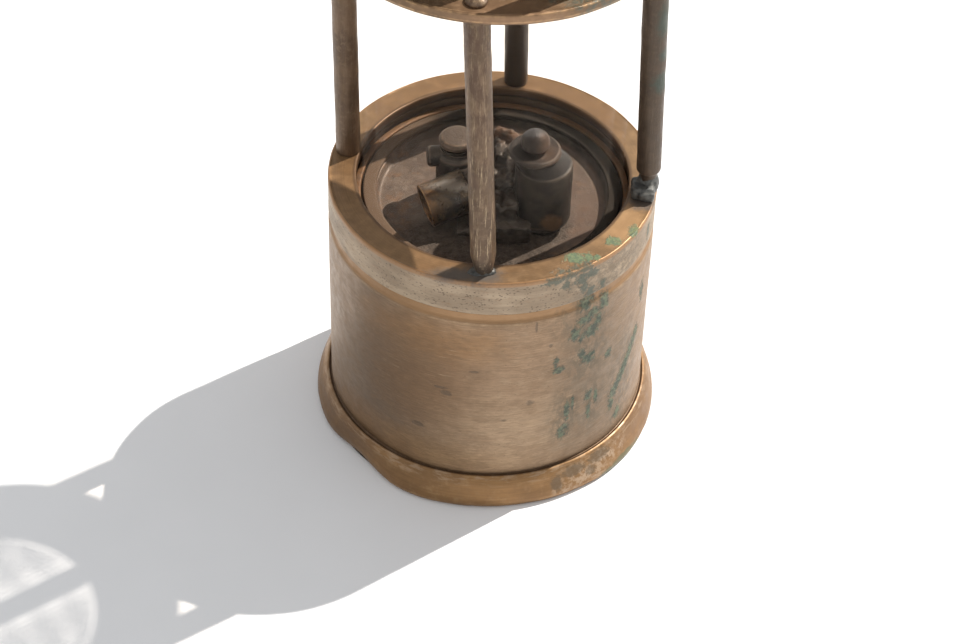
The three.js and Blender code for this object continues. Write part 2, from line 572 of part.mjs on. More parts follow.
buildPot();
buildGenerator();
buildBurnerGroup();
buildGlass();
buildRing();
pillars.forEach(buildPillar);
buildSolder('solder_right', pillars[2], [36.6, -6.9], [3.6, 3.2, 4.6]);
buildSolder('solder_front', pillars[3], [-1.6, -35.6], [3.4, 3.0, 3.6]);
buildCrown();
buildUpperWorks();
buildHook();

export default lamp;
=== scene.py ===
"""Looks of a brass miner's carbide lamp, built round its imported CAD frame. Metres, +Z up.

Outlines are written in millimetres, as (radius, height, fillet) corners in the frame's coordinates,
and scaled to metres where a mesh is made. Colours are 0 to 255 display values.
"""
import json
import math

import bmesh
import bpy
from mathutils import Matrix, Vector, noise


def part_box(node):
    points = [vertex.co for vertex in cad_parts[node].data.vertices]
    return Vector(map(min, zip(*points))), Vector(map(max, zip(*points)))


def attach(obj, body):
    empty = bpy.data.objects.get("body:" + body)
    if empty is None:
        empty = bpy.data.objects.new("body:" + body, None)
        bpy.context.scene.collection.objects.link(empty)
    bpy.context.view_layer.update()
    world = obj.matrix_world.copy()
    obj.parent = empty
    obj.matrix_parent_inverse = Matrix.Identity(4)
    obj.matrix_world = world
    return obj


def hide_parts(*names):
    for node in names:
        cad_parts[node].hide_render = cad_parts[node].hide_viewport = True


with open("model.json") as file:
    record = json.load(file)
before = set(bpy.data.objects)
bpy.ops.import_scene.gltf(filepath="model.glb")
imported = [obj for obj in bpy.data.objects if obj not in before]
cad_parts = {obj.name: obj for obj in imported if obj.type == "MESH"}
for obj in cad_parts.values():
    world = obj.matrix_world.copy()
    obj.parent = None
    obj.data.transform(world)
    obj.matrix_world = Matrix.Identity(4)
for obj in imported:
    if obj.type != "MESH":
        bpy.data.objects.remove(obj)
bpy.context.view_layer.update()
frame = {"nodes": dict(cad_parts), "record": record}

# The offsets of noise_vector come from this seed, so that every run gives the same shapes.
noise.seed_set(3)

MM = 0.001
X, Y, Z = 0, 1, 2


class Solid:
    """Where a CAD node lies, in millimetres: its levels, its middle and half its width."""

    def __init__(self, node):
        low, high = (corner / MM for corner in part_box(node))
        self.low, self.top = low.z, high.z
        self.x, self.y, self.z = ((a + b) / 2 for a, b in zip(low, high))
        self.r = (high.x - low.x) / 2
        self.half_y = (high.y - low.y) / 2


# ---- sizes taken from the frame, in millimetres ----
POT = Solid("pot_wall")
FOOT = Solid("pot_foot")
DECK = Solid("deck_plate")
BOSS = Solid("valve_boss")
GLAND = Solid("valve_gland")
KNOB = Solid("valve_knob")
NECK = Solid("filler_neck")
CAP = Solid("filler_cap")
STEM = Solid("burner_stem")
TIP = Solid("burner_tip")
GLASS = Solid("glass_cylinder")
RING = Solid("guard_ring")
PLATE = Solid("crown_plate")
HOOD = Solid("hood")
PIN = Solid("hook_pin")

CROWN = (HOOD.x, 0.0)
VALVE = (KNOB.x, KNOB.y)
FILLER = (CAP.x, CAP.y)
JET = (STEM.x, STEM.y)
BOSS_R = BOSS.half_y
BOSS_AXIS = (BOSS.x + BOSS.r - BOSS_R, BOSS.y)
TUBE_START = Vector((-16.1, -10.8, 71.2))
TUBE_WAY = Vector((0.9, 0.383, 0.212)).normalized()
DECK_TOP = 65.5
NECK_R = 36.2
NECK_BORE = 34.2
LIP_R = 33.4
PILLAR_R = 3.0
RIVET_R = 2.55


# ---- mesh helpers ----
def new_bmesh():
    """An empty bmesh with a layer for how worn each vertex is."""
    bm = bmesh.new()
    bm.verts.layers.float.new("wear")
    return bm


def smooth_outline(corners, closed, step, arc=5):
    """Rounds each corner by its fillet and spaces points evenly: rows of (radius, height, edge).

    edge is 1 on the crest of an outer corner, -1 in an inner one and 0 on flats.
    """
    count = len(corners)
    rows = []
    for i, (r, z, fillet) in enumerate(corners):
        here = Vector((r, z))
        end = not closed and i in (0, count - 1)
        if end or fillet <= 0:
            rows.append((r, z, 0.0))
            continue
        before = Vector(corners[i - 1][:2]) - here
        after = Vector(corners[(i + 1) % count][:2]) - here
        cut = min(fillet, 0.45 * before.length, 0.45 * after.length)
        start = here + before.normalized() * cut
        stop = here + after.normalized() * cut
        turn = -before.normalized().cross(after.normalized())
        sign = max(-1.0, min(1.0, turn * 1.6))
        for k in range(arc + 1):
            t = k / arc
            point = start * (1 - t) ** 2 + here * 2 * t * (1 - t) + stop * t ** 2
            rows.append((point.x, point.y, sign * math.sin(math.pi * t)))
    spaced = []
    last = len(rows) if closed else len(rows) - 1
    for i in range(last):
        a, b = rows[i], rows[(i + 1) % len(rows)]
        parts = max(1, math.ceil(math.dist(a[:2], b[:2]) / step))
        for k in range(parts):
            t = k / parts
            spaced.append(tuple(a[n] * (1 - t) + b[n] * t for n in range(3)))
    if not closed:
        spaced.append(rows[-1])
    return spaced


def join_loops(bm, loops, closed=False):
    """Faces between neighbouring loops of vertices. A loop of one vertex is a tip."""
    for low, high in zip(loops, loops[1:] + (loops[:1] if closed else [])):
        count = max(len(low), len(high))
        for k in range(count):
            n = (k + 1) % count
            if len(low) == 1:
                bm.faces.new((low[0], high[n], high[k]))
            elif len(high) == 1:
                bm.faces.new((low[k], low[n], high[0]))
            else:
                bm.faces.new((low[k], low[n], high[n], high[k]))


def cap_ends(bm, loops):
    """Closes both ends of a joined row of loops."""
    bm.faces.new(loops[0][::-1])
    bm.faces.new(loops[-1])
    bmesh.ops.recalc_face_normals(bm, faces=bm.faces)


def lathe_mesh(corners, segments, step=2.5, at=(0.0, 0.0), shape=None, to_line=None):
    """A turned solid as a bmesh. An outline with neither end on the axis is closed on itself."""
    closed = corners[0][0] > 0 and corners[-1][0] > 0
    bm = new_bmesh()
    wear = bm.verts.layers.float["wear"]
    loops = []
    for r, z, edge in smooth_outline(corners, closed, step):
        loop = []
        for k in range(segments if r > 0 else 1):
            turn = 2 * math.pi * k / segments
            point = Vector((r * math.cos(turn), r * math.sin(turn), z))
            point = to_line @ point if to_line else point + Vector((at[0], at[1], 0))
            vert = bm.verts.new(shape(point) if shape else point)
            vert[wear] = edge
            loop.append(vert)
        loops.append(loop)
    join_loops(bm, loops, closed)
    bmesh.ops.recalc_face_normals(bm, faces=bm.faces)
    return bm


def piece(name, bm, slot, body, replaced=None, material=None, sharp=50):
    """Scales a bmesh in millimetres to metres and makes it a smooth-shaded piece on a body."""
    bmesh.ops.scale(bm, vec=(MM, MM, MM), verts=bm.verts)
    mesh = bpy.data.meshes.new(name)
    bm.to_mesh(mesh)
    bm.free()
    mesh.shade_smooth()
    mesh.set_sharp_from_angle(angle=math.radians(sharp))
    made = bpy.data.objects.new(name, mesh)
    bpy.context.scene.collection.objects.link(made)
    mesh.materials.append(material or FINISH[slot])
    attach(made, body)
    if replaced:
        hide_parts(replaced)


def line_matrix(start, end):
    """Takes a shape drawn up the Z axis from the origin onto the line from start to end."""
    turn = Vector((0, 0, 1)).rotation_difference(end - start).to_matrix().to_4x4()
    return Matrix.Translation(start) @ turn


def merged(parts):
    """One bmesh holding all the given ones."""
    whole = new_bmesh()
    for part in parts:
        mesh = bpy.data.meshes.new("part")
        part.to_mesh(mesh)
        part.free()
        whole.from_mesh(mesh)
        bpy.data.meshes.remove(mesh)
    return whole


def remeshed(bm, voxel):
    """One skin over everything in the bmesh, with cells of the given size in millimetres."""
    mesh = bpy.data.meshes.new("skin")
    bm.to_mesh(mesh)
    bm.free()
    holder = bpy.data.objects.new("skin", mesh)
    bpy.context.scene.collection.objects.link(holder)
    skin = holder.modifiers.new("skin", "REMESH")
    skin.mode = "VOXEL"
    skin.voxel_size = voxel
    skinned = bpy.data.meshes.new_from_object(holder.evaluated_get(bpy.context.evaluated_depsgraph_get()))
    out = bmesh.new()
    out.from_mesh(skinned)
    bpy.data.objects.remove(holder)
    bpy.data.meshes.remove(skinned)
    bpy.data.meshes.remove(mesh)
    return out


def soften(bm, factor):
    bmesh.ops.smooth_vert(bm, verts=bm.verts, factor=factor,
                          use_axis_x=True, use_axis_y=True, use_axis_z=True)


def rough(point, size, amount, seed=0.0):
    """Pushes a point about by smooth noise with features of the given size, all in millimetres."""
    return point + noise.noise_vector(point / size + Vector((seed, seed, seed))) * amount


def uneven(size, amount, seed=0.0):
    """A shape for lathe_mesh that leaves the surface a little out of true."""
    return lambda point: rough(point, size, amount, seed)


def hump(value, centre, width):
    """A smooth bump, 1 at the centre."""
    return math.exp(-((value - centre) / width) ** 2)


def clamped(value):
    return min(1.0, max(0.0, value))


def azimuth(point):
    return math.degrees(math.atan2(point.y, point.x)) % 360


def axis_distance(point):
    return math.hypot(point.x, point.y)


def pushed(point, amount):
    """Moves a point outward from the lamp's axis."""
    flat = Vector((point.x, point.y, 0))
    return point + flat.normalized() * amount if flat.length > 1 else point


def block_mesh(low, high, bevel, seed=0.0, wobble=0.0):
    """A bevelled box between two corners, a little out of true."""
    bm = new_bmesh()
    bmesh.ops.create_cube(bm, size=1.0)
    low, high = Vector(low), Vector(high)
    middle = (low + high) / 2
    for vert in bm.verts:
        vert.co = Vector([vert.co[n] * (high - low)[n] + middle[n] for n in range(3)])
        vert.co = rough(vert.co, 6.0, wobble, seed)
    bmesh.ops.bevel(bm, geom=bm.edges[:], offset=bevel, segments=3, profile=0.6, affect="EDGES")
    return bm


def sweep_mesh(points, radius, sides):
    """A round bar along smooth points. radius is a function of 0 to 1."""
    bm = new_bmesh()
    last = len(points) - 1
    loops = []
    for i, point in enumerate(points):
        along = (points[min(i + 1, last)] - points[max(i - 1, 0)]).normalized()
        side = along.cross(Vector((0, 0, 1))).normalized()
        up = side.cross(along)
        size = radius(i / last)
        loops.append([bm.verts.new(point + size * (side * math.cos(a) + up * math.sin(a)))
                      for a in (2 * math.pi * k / sides for k in range(sides))])
    join_loops(bm, loops)
    cap_ends(bm, loops)
    return bm


def smooth_path(points, parts):
    """Points along a Catmull-Rom curve through the given ones."""
    points = [Vector(p) for p in points]
    padded = [points[0] * 2 - points[1]] + points + [points[-1] * 2 - points[-2]]
    path = []
    for a, b, c, d in zip(padded, padded[1:], padded[2:], padded[3:]):
        for k in range(parts):
            t = k / parts
            path.append(0.5 * (2 * b + (c - a) * t + (2 * a - 5 * b + 4 * c - d) * t ** 2
                               + (3 * b - a - 3 * c + d) * t ** 3))
    return path + [points[-1]]


# ---- material helpers ----
def tone(red, green, blue):
    """A display colour, made linear."""
    def linear(value):
        value /= 255
        return value / 12.92 if value <= 0.04045 else ((value + 0.055) / 1.055) ** 2.4
    return (linear(red), linear(green), linear(blue), 1.0)


def around(angle, radius, height):
    """A point on a cylinder round the lamp's axis; the angle is in degrees."""
    turn = math.radians(angle)
    return (radius * math.cos(turn), radius * math.sin(turn), height)


class Shader:
    """Builds one material. Sizes and places are in millimetres.

    color is the colour so far; coat, multiply and cover change it. The other methods return a socket.
    """

    def __init__(self, name):
        self.material = bpy.data.materials.new(name)
        self.material.use_nodes = True
        self.tree = self.material.node_tree
        self.tree.nodes.clear()
        coords = self.node("ShaderNodeTexCoord")
        self.place = coords.outputs["Object"]
        self.facing = coords.outputs["Normal"]
        self.color = None

    def node(self, kind, **settings):
        made = self.tree.nodes.new(kind)
        for key, value in settings.items():
            setattr(made, key, value)
        return made

    def put(self, socket, value):
        if isinstance(value, bpy.types.NodeSocket):
            self.tree.links.new(value, socket)
        else:
            socket.default_value = value

    def calc(self, operation, a, b=0.0, clamp=False):
        made = self.node("ShaderNodeMath", operation=operation, use_clamp=clamp)
        self.put(made.inputs[0], a)
        self.put(made.inputs[1], b)
        return made.outputs[0]

    def times(self, a, b):
        return self.calc("MULTIPLY", a, b)

    def plus(self, value, mask, share):
        """value raised by the share where the mask is 1, kept within 0 to 1."""
        return self.calc("ADD", value, self.times(mask, share), True)

    def minus(self, value, mask, share):
        return self.calc("SUBTRACT", value, self.times(mask, share))

    def vector(self, operation, a, b=(0, 0, 0)):
        made = self.node("ShaderNodeVectorMath", operation=operation)
        self.put(made.inputs[0], a)
        self.put(made.inputs[1], b)
        return made.outputs["Value" if operation == "LENGTH" else "Vector"]

    def stretched(self, size):
        """Object coordinates in which features of size one are the given millimetres long."""
        sizes = size if isinstance(size, tuple) else (size, size, size)
        return self.vector("MULTIPLY", self.place, tuple(1 / (s * MM) for s in sizes))

    def noise(self, size, detail=4.0, roughness=0.55, distortion=0.0):
        made = self.node("ShaderNodeTexNoise")
        settings = {"Vector": self.stretched(size), "Scale": 1.0, "Detail": detail, "Roughness": roughness,
                    "Distortion": distortion}
        for key, value in settings.items():
            self.put(made.inputs[key], value)
        return made.outputs["Fac"]

    def cells(self, size):
        made = self.node("ShaderNodeTexVoronoi")
        self.put(made.inputs["Vector"], self.stretched(size))
        made.inputs["Scale"].default_value = 1.0
        return made.outputs["Distance"]

    def remap(self, value, low, high, out_low=0.0, out_high=1.0):
        made = self.node("ShaderNodeMapRange", interpolation_type="SMOOTHSTEP")
        for socket, setting in zip(made.inputs, (value, low, high, out_low, out_high)):
            self.put(socket, setting)
        return made.outputs[0]

    def clouds(self, size, detail, roughness, low, high, out_low=0.0, out_high=1.0):
        """Noise with its range from low to high drawn out."""
        return self.remap(self.noise(size, detail, roughness), low, high, out_low, out_high)

    def blend(self, factor, a, b, mode="MIX"):
        made = self.node("ShaderNodeMix", data_type="RGBA", blend_type=mode)
        self.put(made.inputs[0], factor)
        self.put(made.inputs[6], a)
        self.put(made.inputs[7], b)
        return made.outputs[2]

    def between(self, factor, first, second):
        return self.blend(factor, tone(*first), tone(*second))

    def cover(self, mask, color):
        self.color = self.blend(mask, self.color, color)

    def coat(self, mask, share, shade):
        """Lays a display colour over the one so far, as strongly as the share says."""
        self.cover(self.times(mask, share), tone(*shade))

    def multiply(self, value):
        """Multiplies the colour by a grey value."""
        grey = self.node("ShaderNodeCombineColor")
        for socket in grey.inputs:
            self.put(socket, value)
        self.color = self.blend(1.0, self.color, grey.outputs[0], "MULTIPLY")

    def part_of(self, vector, axis):
        made = self.node("ShaderNodeSeparateXYZ")
        self.put(made.inputs[0], vector)
        return made.outputs[axis]

    def position(self, axis):
        """Place along one axis, in millimetres."""
        return self.part_of(self.stretched(1.0), axis)

    def along(self, axis, low, high, out_low=0.0, out_high=1.0):
        """Runs from 0 to 1 between two places on an axis."""
        return self.remap(self.position(axis), low, high, out_low, out_high)

    def radius(self):
        """Distance from the lamp's axis."""
        return self.vector("LENGTH", self.vector("MULTIPLY", self.place, (1 / MM, 1 / MM, 0)))

    def outward(self, low, high):
        """Runs from 0 to 1 between two distances from the lamp's axis."""
        return self.remap(self.radius(), low, high)

    def noise_on_radius(self, size):
        """Rings of noise about the lamp's axis, as a lathe tool leaves them."""
        made = self.node("ShaderNodeTexNoise", noise_dimensions="1D")
        self.put(made.inputs["W"], self.calc("DIVIDE", self.radius(), size))
        made.inputs["Scale"].default_value = 1.0
        made.inputs["Detail"].default_value = 3.0
        return made.outputs["Fac"]

    def wear(self):
        return self.node("ShaderNodeAttribute", attribute_name="wear").outputs["Fac"]

    def patch(self, centre, size, ragged=0.8, grain=2.0, soft=0.25):
        """1 inside a ragged blot around centre, 0 outside it."""
        away = self.vector("SUBTRACT", self.place, tuple(c * MM for c in centre))
        away = self.vector("DIVIDE", away, tuple(s * MM for s in size))
        fray = self.times(self.calc("SUBTRACT", self.noise(grain, 5, 0.65), 0.5), ragged * 2)
        reach = self.calc("ADD", self.vector("LENGTH", away), fray)
        return self.remap(reach, 1 - soft, 1 + soft, 1.0, 0.0)

    def patches(self, *rows):
        """Several patches as one mask; each row holds the arguments of one."""
        return self.any_of([self.patch(*row) for row in rows])

    def blots(self, radius, spots, ragged=1.2, grain=2.0, soft=0.9):
        """Patches on a cylinder, from (azimuth, height, width, tallness) rows."""
        return self.patches(*((around(angle, radius, height), (wide, wide, tall), ragged, grain, soft)
                              for angle, height, wide, tall in spots))

    def crust(self, blots, grain=1.5):
        """Corrosion that is solid in the middle of the blots and breaks up into specks round them."""
        speck = self.calc("ADD", self.noise(grain, 6, 0.74, 0.5), self.times(blots, 0.42))
        return self.times(self.remap(speck, 0.6, 0.88), self.remap(blots, 0.02, 0.3))

    def pits(self, size, share):
        """Small dark pits: share of the surface from 0 to 1."""
        start = 0.5 + 0.28 * (1 - share)
        return self.clouds(size, 2, 0.5, start, start + 0.06)

    def any_of(self, masks):
        whole = masks[0]
        for mask in masks[1:]:
            whole = self.calc("MAXIMUM", whole, mask)
        return whole

    def relief(self, *layers):
        """Bumps laid one on another, from (height, depth in millimetres, strength) rows."""
        normal = None
        for height, depth, strength in layers:
            made = self.node("ShaderNodeBump")
            made.inputs["Strength"].default_value = strength
            made.inputs["Distance"].default_value = depth * MM
            self.put(made.inputs["Height"], height)
            if normal:
                self.put(made.inputs["Normal"], normal)
            normal = made.outputs[0]
        return normal

    def surface(self, roughness, metallic=0.0, normal=None, **others):
        made = self.node("ShaderNodeBsdfPrincipled")
        settings = {"Base Color": self.color, "Roughness": roughness, "Metallic": metallic}
        settings.update({key.replace("_", " "): value for key, value in others.items()})
        if normal:
            settings["Normal"] = normal
        for key, value in settings.items():
            self.put(made.inputs[key], value)
        out = self.node("ShaderNodeOutputMaterial")
        self.put(out.inputs["Surface"], made.outputs[0])
        return self.material


class Metal(Shader):
    """Old handled metal: blotches, brushed grain, pale rubbed edges and painted shade in the inner corners.
    """

    def __init__(self, name, base, dark, light, rub, grain=(9.0, 9.0, 0.25), blotch=11.0, edge=1.0,
                 mottle=0.6, corner=0.6):
        super().__init__(name)
        self.small = self.noise(blotch / 5, 5, 0.6)
        self.lines = self.noise(grain, 3, 0.6)
        self.color = self.between(self.clouds(blotch, 6, 0.62, 0.36, 0.64, 1 - mottle, 1), dark, base)
        self.coat(self.remap(self.small, 0.48, 0.72), mottle, light)
        self.multiply(self.remap(self.lines, 0.25, 0.75, 0.88, 1.1))
        wear = self.wear()
        rubbed = self.times(self.remap(wear, 0.15, 0.85), self.remap(self.small, 0.34, 0.62))
        self.coat(rubbed, edge, rub)
        # Painted shade: the inner corners are darkened.
        self.coat(self.remap(wear, -0.1, -0.8), corner, (44, 38, 34))

    def roughness(self, low, high):
        """Roughness that follows the small blotches."""
        return self.remap(self.small, 0.3, 0.7, low, high)


# ---- materials ----
def pot_brass():
    shader = Metal("pot_brass", (146, 120, 94), (126, 102, 79), (164, 141, 115), (190, 162, 128),
                   grain=(16.0, 16.0, 0.2), blotch=14.0, edge=0.5, mottle=0.5)
    # Broad areas: brown on the left, deepened there as painted shade on the side turned from the lamp; warm
    # under the ring and at the foot, pale where a hand rubs it.
    for angle, height, size, share, shade in (
            (228, 34, (13, 13, 30), 0.8, (98, 82, 66)), (205, 36, (9, 11, 30), 0.6, (132, 112, 92)),
            (252, 53, (15, 15, 6), 0.8, (146, 110, 72)), (246, 38, (14, 14, 16), 0.75, (118, 90, 63)),
            (250, 13, (20, 20, 5), 0.6, (146, 114, 76)), (222, 12, (14, 14, 6), 0.6, (128, 96, 64)),
            (284, 22, (17, 17, 13), 0.5, (162, 139, 112)), (314, 34, (12, 12, 26), 0.6, (116, 101, 84))):
        shader.coat(shader.patch(around(angle, POT.r, height), size, 0.7, 9.0, 0.75), share, shade)
    # Short dark and bright dashes, cloudy patina, brush marks and pits.
    shader.coat(shader.clouds((3.2, 3.2, 0.32), 4, 0.6, 0.6, 0.76), 0.5, (104, 84, 66))
    shader.coat(shader.clouds((6.0, 6.0, 0.3), 4, 0.6, 0.6, 0.76), 0.4, (194, 170, 138))
    shader.coat(shader.clouds((6.0, 6.0, 2.6), 6, 0.68, 0.42, 0.62), 0.4, (118, 93, 68))
    shader.multiply(shader.clouds((2.6, 2.6, 0.28), 5, 0.7, 0.3, 0.7, 0.84, 1.13))
    shader.coat(shader.pits((0.9, 0.9, 0.5), 0.35), 0.5, (92, 74, 56))
    shader.coat(shader.along(Z, 60.4, 61.0), 0.6, (160, 122, 82))
    nicks = shader.blots(POT.r, [
        (256.5, 36, 1.3, 0.9), (254.3, 37.6, 1.6, 0.4), (246, 22.3, 1.8, 0.8), (287, 58.9, 0.3, 1.8),
        (292.5, 51.6, 0.5, 0.5), (286, 33, 0.9, 0.8), (266, 44.6, 1.2, 0.3), (277, 28, 0.8, 0.3)],
        0.8, 0.9, 0.4)
    shader.coat(nicks, 0.55, (84, 72, 60))
    # Verdigris and grime that ran down from the ring.
    haze = shader.blots(POT.r, [
        (306, 56, 7, 8), (309, 44, 6, 10), (300, 26, 4, 9), (311, 26, 5, 8), (327, 26, 6, 16)], 0.6, 3.0, 0.8)
    grime = shader.times(haze, shader.remap(shader.noise((1.8, 1.8, 3.4), 6, 0.7, 0.4), 0.4, 0.58))
    shader.coat(grime, 0.75, (94, 84, 68))
    spots = shader.blots(POT.r, [
        (304.5, 50.4, 1.2, 1.2), (311.5, 54.5, 1.2, 2.0), (308.9, 51.9, 2.4, 2.0), (301.6, 53.0, 1.4, 2.6),
        (305, 56, 2.0, 1.6), (308, 42.6, 2.2, 1.7), (305, 44.8, 1.0, 1.6), (299.1, 20.2, 1.7, 2.6),
        (300.3, 27, 0.8, 3.4), (302.6, 29, 0.5, 2.4), (309.4, 29, 1.0, 1.6), (310, 24, 0.8, 2.6),
        (313, 27.5, 0.7, 2.2), (326, 14.6, 1.7, 2.2), (305.9, 62, 2.4, 2.4), (308.4, 57.6, 2.4, 1.6),
        (314, 59.6, 1.6, 3.0), (294.8, 45.0, 0.8, 1.6), (295.8, 42.4, 1.5, 1.1), (339, 50, 1.3, 3.4),
        (318, 40, 1.2, 1.4), (322, 20, 1.0, 2.4)], 1.2, 1.6, 0.9)
    streak = shader.blots(POT.r, [(328 + k * 1.7, 28.5 + k * 1.7, 1.6, 2.3) for k in range(-3, 6)],
                          1.2, 1.5, 0.9)
    green = shader.crust(shader.any_of([spots, streak]))
    tint = shader.between(shader.clouds(1.2, 4, 0.6, 0.42, 0.6), (62, 76, 68), (98, 112, 92))
    shader.cover(shader.times(green, 0.8), tint)
    # Painted shade in the groove above the foot, and the inside of the wall made darker.
    shader.coat(shader.along(Z, 9.7, 9.0), 0.5, (84, 62, 42))
    shader.coat(shader.outward(39.2, 38.9), 0.85, (60, 47, 37))
    relief = shader.relief((shader.lines, 0.03, 1.0), (shader.noise((5.0, 5.0, 0.7), 4, 0.6), 0.04, 0.8),
                           (shader.calc("SUBTRACT", green, nicks), 0.12, 0.8))
    return shader.surface(shader.plus(shader.roughness(0.4, 0.58), green, 0.3),
                          shader.minus(0.5, green, 0.45), relief)


def ring_brass():
    shader = Metal("ring_brass", (134, 105, 73), (122, 94, 66), (150, 119, 84), (186, 142, 92),
                   grain=(2.6, 2.6, 0.4), blotch=14.0, edge=0.3, mottle=0.5)
    shader.multiply(shader.remap(shader.noise_on_radius(0.3), 0.3, 0.7, 0.93, 1.06))
    shader.coat(shader.clouds(0.9, 5, 0.66, 0.58, 0.72), 0.35, (96, 74, 54))
    # A brighter gold patch on the top at the right front: rubbed brass with a painted highlight.
    shader.coat(shader.patch((32.5, -18.0, RING.top), (8.0, 7.5, 3.0), 0.7, 3.0, 0.6), 0.65, (184, 145, 102))
    # The outside of the band is worn to a pale grey-brown and pitted in rows.
    upright = shader.remap(shader.calc("ABSOLUTE", shader.part_of(shader.facing, Z)), 0.75, 0.5)
    band = shader.times(upright, shader.outward(RING.r - 1.2, RING.r - 0.7))
    band = shader.times(band, shader.along(Z, 90, 80))
    top_color = shader.color
    shader.color = shader.between(shader.clouds((14.0, 14.0, 4.0), 4, 0.5, 0.38, 0.62),
                                  (144, 126, 105), (166, 147, 124))
    shader.multiply(shader.clouds((7.0, 7.0, 0.2), 3, 0.5, 0.3, 0.7, 0.92, 1.05))
    dots = shader.times(shader.remap(shader.cells((0.9, 0.9, 0.6)), 0.36, 0.16),
                        shader.clouds((5.0, 5.0, 1.0), 5, 0.7, 0.42, 0.56))
    specks = shader.any_of([dots, shader.pits((1.4, 1.4, 0.3), 0.35)])
    shader.coat(specks, 0.75, (84, 68, 54))
    shader.coat(shader.clouds((4.0, 4.0, 1.2), 6, 0.7, 0.54, 0.66), 0.45, (140, 112, 86))
    stained = shader.times(shader.patch(around(318, RING.r, 68), (14, 14, 9), 0.7, 4.0, 0.6),
                           shader.clouds((1.6, 1.6, 1.2), 6, 0.7, 0.4, 0.56))
    shader.coat(stained, 0.65, (112, 98, 80))
    shader.coat(shader.along(Z, 62.6, 61.9), 0.6, (150, 112, 78))
    band_color = shader.color
    shader.color = shader.blend(band, top_color, band_color)
    rim = shader.times(shader.along(Z, RING.top - 1.5, RING.top - 0.8),
                       shader.outward(RING.r - 0.8, RING.r - 0.4))
    shader.coat(rim, 0.75, (156, 116, 78))
    # Verdigris on the top and where it ran over the edge.
    leaves = ((304, 36.4, (2.6, 1.9, 1.5)), (308.5, 37.6, (1.3, 1.3, 1)), (321, 37.8, (2.0, 1.5, 1)),
              (330, 39.6, (1.4, 2.0, 1)), (310.5, 39.0, (1.0, 1.0, 1)))
    leaf = shader.crust(shader.patches(*((around(angle, radius, RING.top), size, 1.0, 1.4, 0.6)
                                         for angle, radius, size in leaves)), 1.0)
    runs = shader.crust(shader.blots(RING.r, [
        (292, 72.4, 2.6, 1.0), (297, 73.0, 3.4, 0.9), (304, 73.2, 3.4, 0.7), (303, 70.4, 1.6, 1.8),
        (307, 71.0, 1.6, 1.6), (304, 67.4, 1.2, 1.8), (307, 64.8, 1.6, 2.4), (312, 66.0, 1.2, 2.2),
        (297, 70.0, 1.2, 1.4), (341, 68.0, 1.0, 2.6)], 1.3, 1.4, 0.9), 1.1)
    # Grey round the soldered pillars.
    stain = shader.patches(((-7.5, -37.4, RING.top), (6.0, 2.2, 2), 0.7, 1.8, 0.6),
                           ((-1.6, -37.0, RING.top), (4.6, 3.2, 2), 0.6, 1.6, 0.5),
                           ((36.6, -8.8, RING.top), (3.4, 3.4, 2), 0.7, 1.6, 0.5))
    shader.coat(stain, 0.8, (76, 74, 72))
    shader.coat(runs, 0.8, (72, 82, 70))
    tint = shader.between(shader.clouds(0.8, 3, 0.55, 0.4, 0.62), (76, 102, 78), (106, 124, 88))
    shader.cover(shader.times(leaf, 0.85), tint)
    green = shader.any_of([leaf, runs])
    # Painted shade on the inner wall, inner crest and underside.
    inner = shader.times(shader.outward(34.0, 33.6), shader.along(Z, RING.top - 0.4, RING.top - 1.0))
    shader.coat(inner, 0.8, (66, 50, 36))
    shader.coat(shader.outward(34.5, 34.0), 0.75, (84, 63, 45))
    shader.coat(shader.times(shader.outward(36.9, 36.6), shader.along(Z, 72.0, 71.4)), 0.9, (40, 32, 27))
    relief = shader.relief((shader.noise_on_radius(0.3), 0.02, 1.0), (shader.small, 0.05, 0.7),
                           (shader.times(specks, band), -0.06, 0.9), (green, 0.12, 0.8))
    dull = shader.any_of([green, band, stain])
    return shader.surface(shader.plus(shader.roughness(0.34, 0.48), dull, 0.16),
                          shader.minus(0.38, shader.any_of([green, stain]), 0.3), relief)


def foot_brass():
    shader = Metal("foot_brass", (140, 105, 66), (108, 80, 52), (162, 128, 90), (190, 154, 112),
                   grain=(9.0, 9.0, 0.35), blotch=12.0, edge=0.2, mottle=0.5)
    # Painted shade: a darker patch low on the left of the foot, the side turned from the lamp.
    shader.coat(shader.patch(around(208, 43, 5), (15, 16, 9), 0.6, 8.0, 0.8), 0.5, (106, 82, 60))
    shader.coat(shader.patch(around(338, 42.0, 7.5), (11, 15, 3.5), 0.6, 3.0, 0.7), 0.75, (122, 93, 66))
    # Painted highlight: a pale band along the top of the bead.
    bead_highlight = shader.times(shader.along(Z, 6.2, 7.6), shader.clouds((4.0, 4.0, 0.8), 5, 0.66, 0.46, 0.62))
    shader.coat(bead_highlight, 0.4, (176, 152, 126))
    rubbed = shader.blots(43, [(308, 4.0, 7, 3.2), (298, 2.4, 3, 1.6), (318, 6.0, 6, 2.2)], 0.6, 2.5, 0.7)
    shader.coat(shader.times(rubbed, shader.clouds(1.6, 5, 0.7, 0.44, 0.6)), 0.6, (186, 164, 140))
    burnt = shader.crust(shader.blots(43, [
        (296, 4.4, 1.7, 2.4), (303, 6.6, 3.4, 1.4), (314, 7.0, 3.6, 1.6), (309, 4.6, 2.0, 1.6), (60, 5, 6, 3),
        (140, 4, 4, 2.5)], 0.6, 1.6, 0.7))
    shader.coat(burnt, 0.6, (86, 76, 62))
    green = shader.crust(shader.patches((around(326, 44.2, 1.6), (7, 7, 1.4), 0.6, 1.4, 0.7),
                                        (around(318, 44.0, 1.0), (4, 4, 1.0), 0.6, 1.4, 0.7)))
    shader.coat(green, 0.7, (88, 98, 72))
    # Painted shade in the groove against the wall.
    shader.coat(shader.outward(41.5, 40.9), 0.7, (70, 52, 36))
    relief = shader.relief((shader.lines, 0.02, 1.0), (shader.small, 0.07, 0.8))
    return shader.surface(shader.roughness(0.36, 0.52), 0.5, relief)


